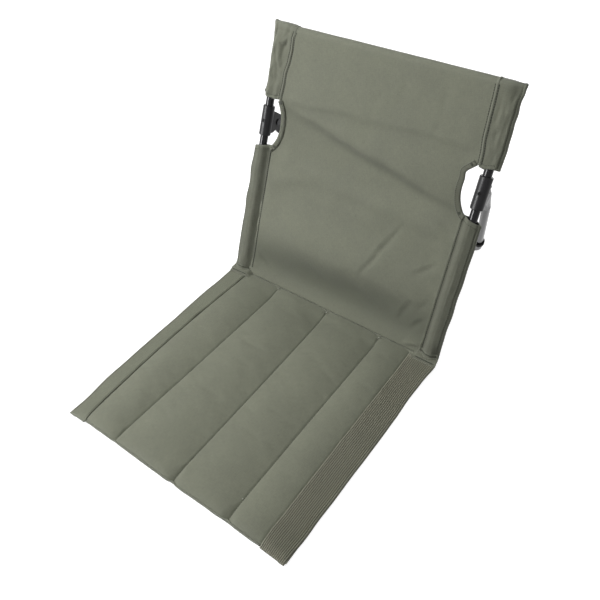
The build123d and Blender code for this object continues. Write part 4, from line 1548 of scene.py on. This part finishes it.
for word in sideNames.values():
    makeRing(f"legRing_{word}", f"leg_ring_{word}")
print("hard parts finished")


# floor, light and camera
stageLook = {
    "reach": 6, "drop": -0.0004, "floor": 0.5, "mottle": 0.02, "roughness": 0.9, "glow": 0.88, "world": 0.24,
    "key": 32.0, "fill": 1.0, "top": 1.5, "gleam": 34.0, "rear": 9.0,
}


def seenRays(tree):  # what the eye sees, straight or in a gleam
    path = addNode(tree, "ShaderNodeLightPath")
    seen = sums(tree, "MAXIMUM", path.outputs["Is Camera Ray"], path.outputs["Is Glossy Ray"])
    return sums(tree, "MAXIMUM", seen, path.outputs["Is Transmission Ray"])


def makeFloor():
    far, drop, tone = stageLook["reach"], stageLook["drop"], stageLook["floor"]
    floor = bpy.data.meshes.new("floor")
    ends = [(-far, -far, drop), (far, -far, drop), (far, far, drop), (-far, far, drop)]
    floor.from_pydata(ends, [], [[0, 1, 2, 3]])
    made, tree, shader = newMaterial("paleFloor")
    place = objectPlace(tree)
    light = grey(tone + stageLook["mottle"])
    mottled = ramp(tree, speckle(tree, place, 3.0, 2.0), 0.3, 0.7, grey(tone), light)
    tree.links.new(mottled, shader.inputs["Base Color"])
    shader.inputs["Roughness"].default_value = stageLook["roughness"]
    shader.inputs["Specular IOR Level"].default_value = 0.0
    glow = addNode(tree, "ShaderNodeEmission")
    tree.links.new(sums(tree, "MULTIPLY", seenRays(tree), stageLook["glow"]), glow.inputs["Strength"])
    both = addNode(tree, "ShaderNodeAddShader")
    tree.links.new(shader.outputs[0], both.inputs[0])
    tree.links.new(glow.outputs[0], both.inputs[1])
    tree.links.new(both.outputs[0], tree.nodes["Material Output"].inputs["Surface"])
    floor.materials.append(made)
    sheet = bpy.data.objects.new("floor", floor)
    scene.collection.objects.link(sheet)


def makeWorld():
    world = bpy.data.worlds.new("studio")
    scene.world = world
    world.use_nodes = True
    tree = world.node_tree
    back = tree.nodes["Background"]
    level = sums(tree, "MULTIPLY_ADD", seenRays(tree), 1.0 - stageLook["world"])
    level.node.inputs[2].default_value = stageLook["world"]
    back.inputs["Color"].default_value = (1, 1, 1, 1)
    tree.links.new(level, back.inputs["Strength"])


def softbox(name, place, aim, size, power):
    lamp = bpy.data.lights.new(name, "AREA")
    lamp.shape, lamp.size, lamp.size_y = "RECTANGLE", size[0], size[1]
    lamp.energy = power
    made = bpy.data.objects.new(name, lamp)
    scene.collection.objects.link(made)
    made.location = place
    made.rotation_mode = "QUATERNION"
    made.rotation_quaternion = (Vector(aim) - Vector(place)).to_track_quat("-Z", "Y")
    return made


cameraLook = {
    "place": (0.43116, -0.57702, 0.76827), "azimuth": 38.193, "elevation": 44.097, "roll": -2.899,
    "lens": 38.656, "sensor": 36.0, "clip": (0.01, 50.0),
}


def makeCamera():
    look = cameraLook
    az, el, roll = (math.radians(look[key]) for key in ("azimuth", "elevation", "roll"))
    back = Vector((math.sin(az) * math.cos(el), -math.cos(az) * math.cos(el), math.sin(el)))
    right = (-back).cross(Vector((0, 0, 1))).normalized()
    up = right.cross(-back)
    cos, sin = math.cos(roll), math.sin(roll)
    right, up = cos * right + sin * up, cos * up - sin * right
    data = bpy.data.cameras.new("camera")
    data.lens, data.sensor_width, data.sensor_fit = look["lens"], look["sensor"], "HORIZONTAL"
    data.clip_start, data.clip_end = look["clip"]
    camera = bpy.data.objects.new("camera", data)
    scene.collection.objects.link(camera)
    turn = Matrix((right, up, back)).transposed().to_4x4()
    camera.matrix_world = Matrix.Translation(Vector(look["place"])) @ turn
    scene.camera = camera


makeFloor()
makeWorld()
softbox("keyLight", (-1.18, -0.7, 1.33), (0, 0, 0.15), (0.7, 0.9), stageLook["key"])
gleam = softbox("gleamLight", (-1.0, -1.35, 0.42), (0.0, 0.1, 0.25), (0.9, 0.5), stageLook["gleam"])
gleam.visible_diffuse = False  # only for the streak of light on the tubes
softbox("fillLight", (1.4, -1.0, 1.1), (0, 0, 0.15), (1.2, 1.2), stageLook["fill"])
softbox("topLight", (0.0, 0.2, 2.0), (0, 0, 0.1), (1.6, 1.6), stageLook["top"])
softbox("rearLight", (0.3, 1.7, 0.3), (0, 0.12, 0.2), (1.2, 0.5), stageLook["rear"])
makeCamera()
scene.view_settings.view_transform = "Standard"
print("stage ready")
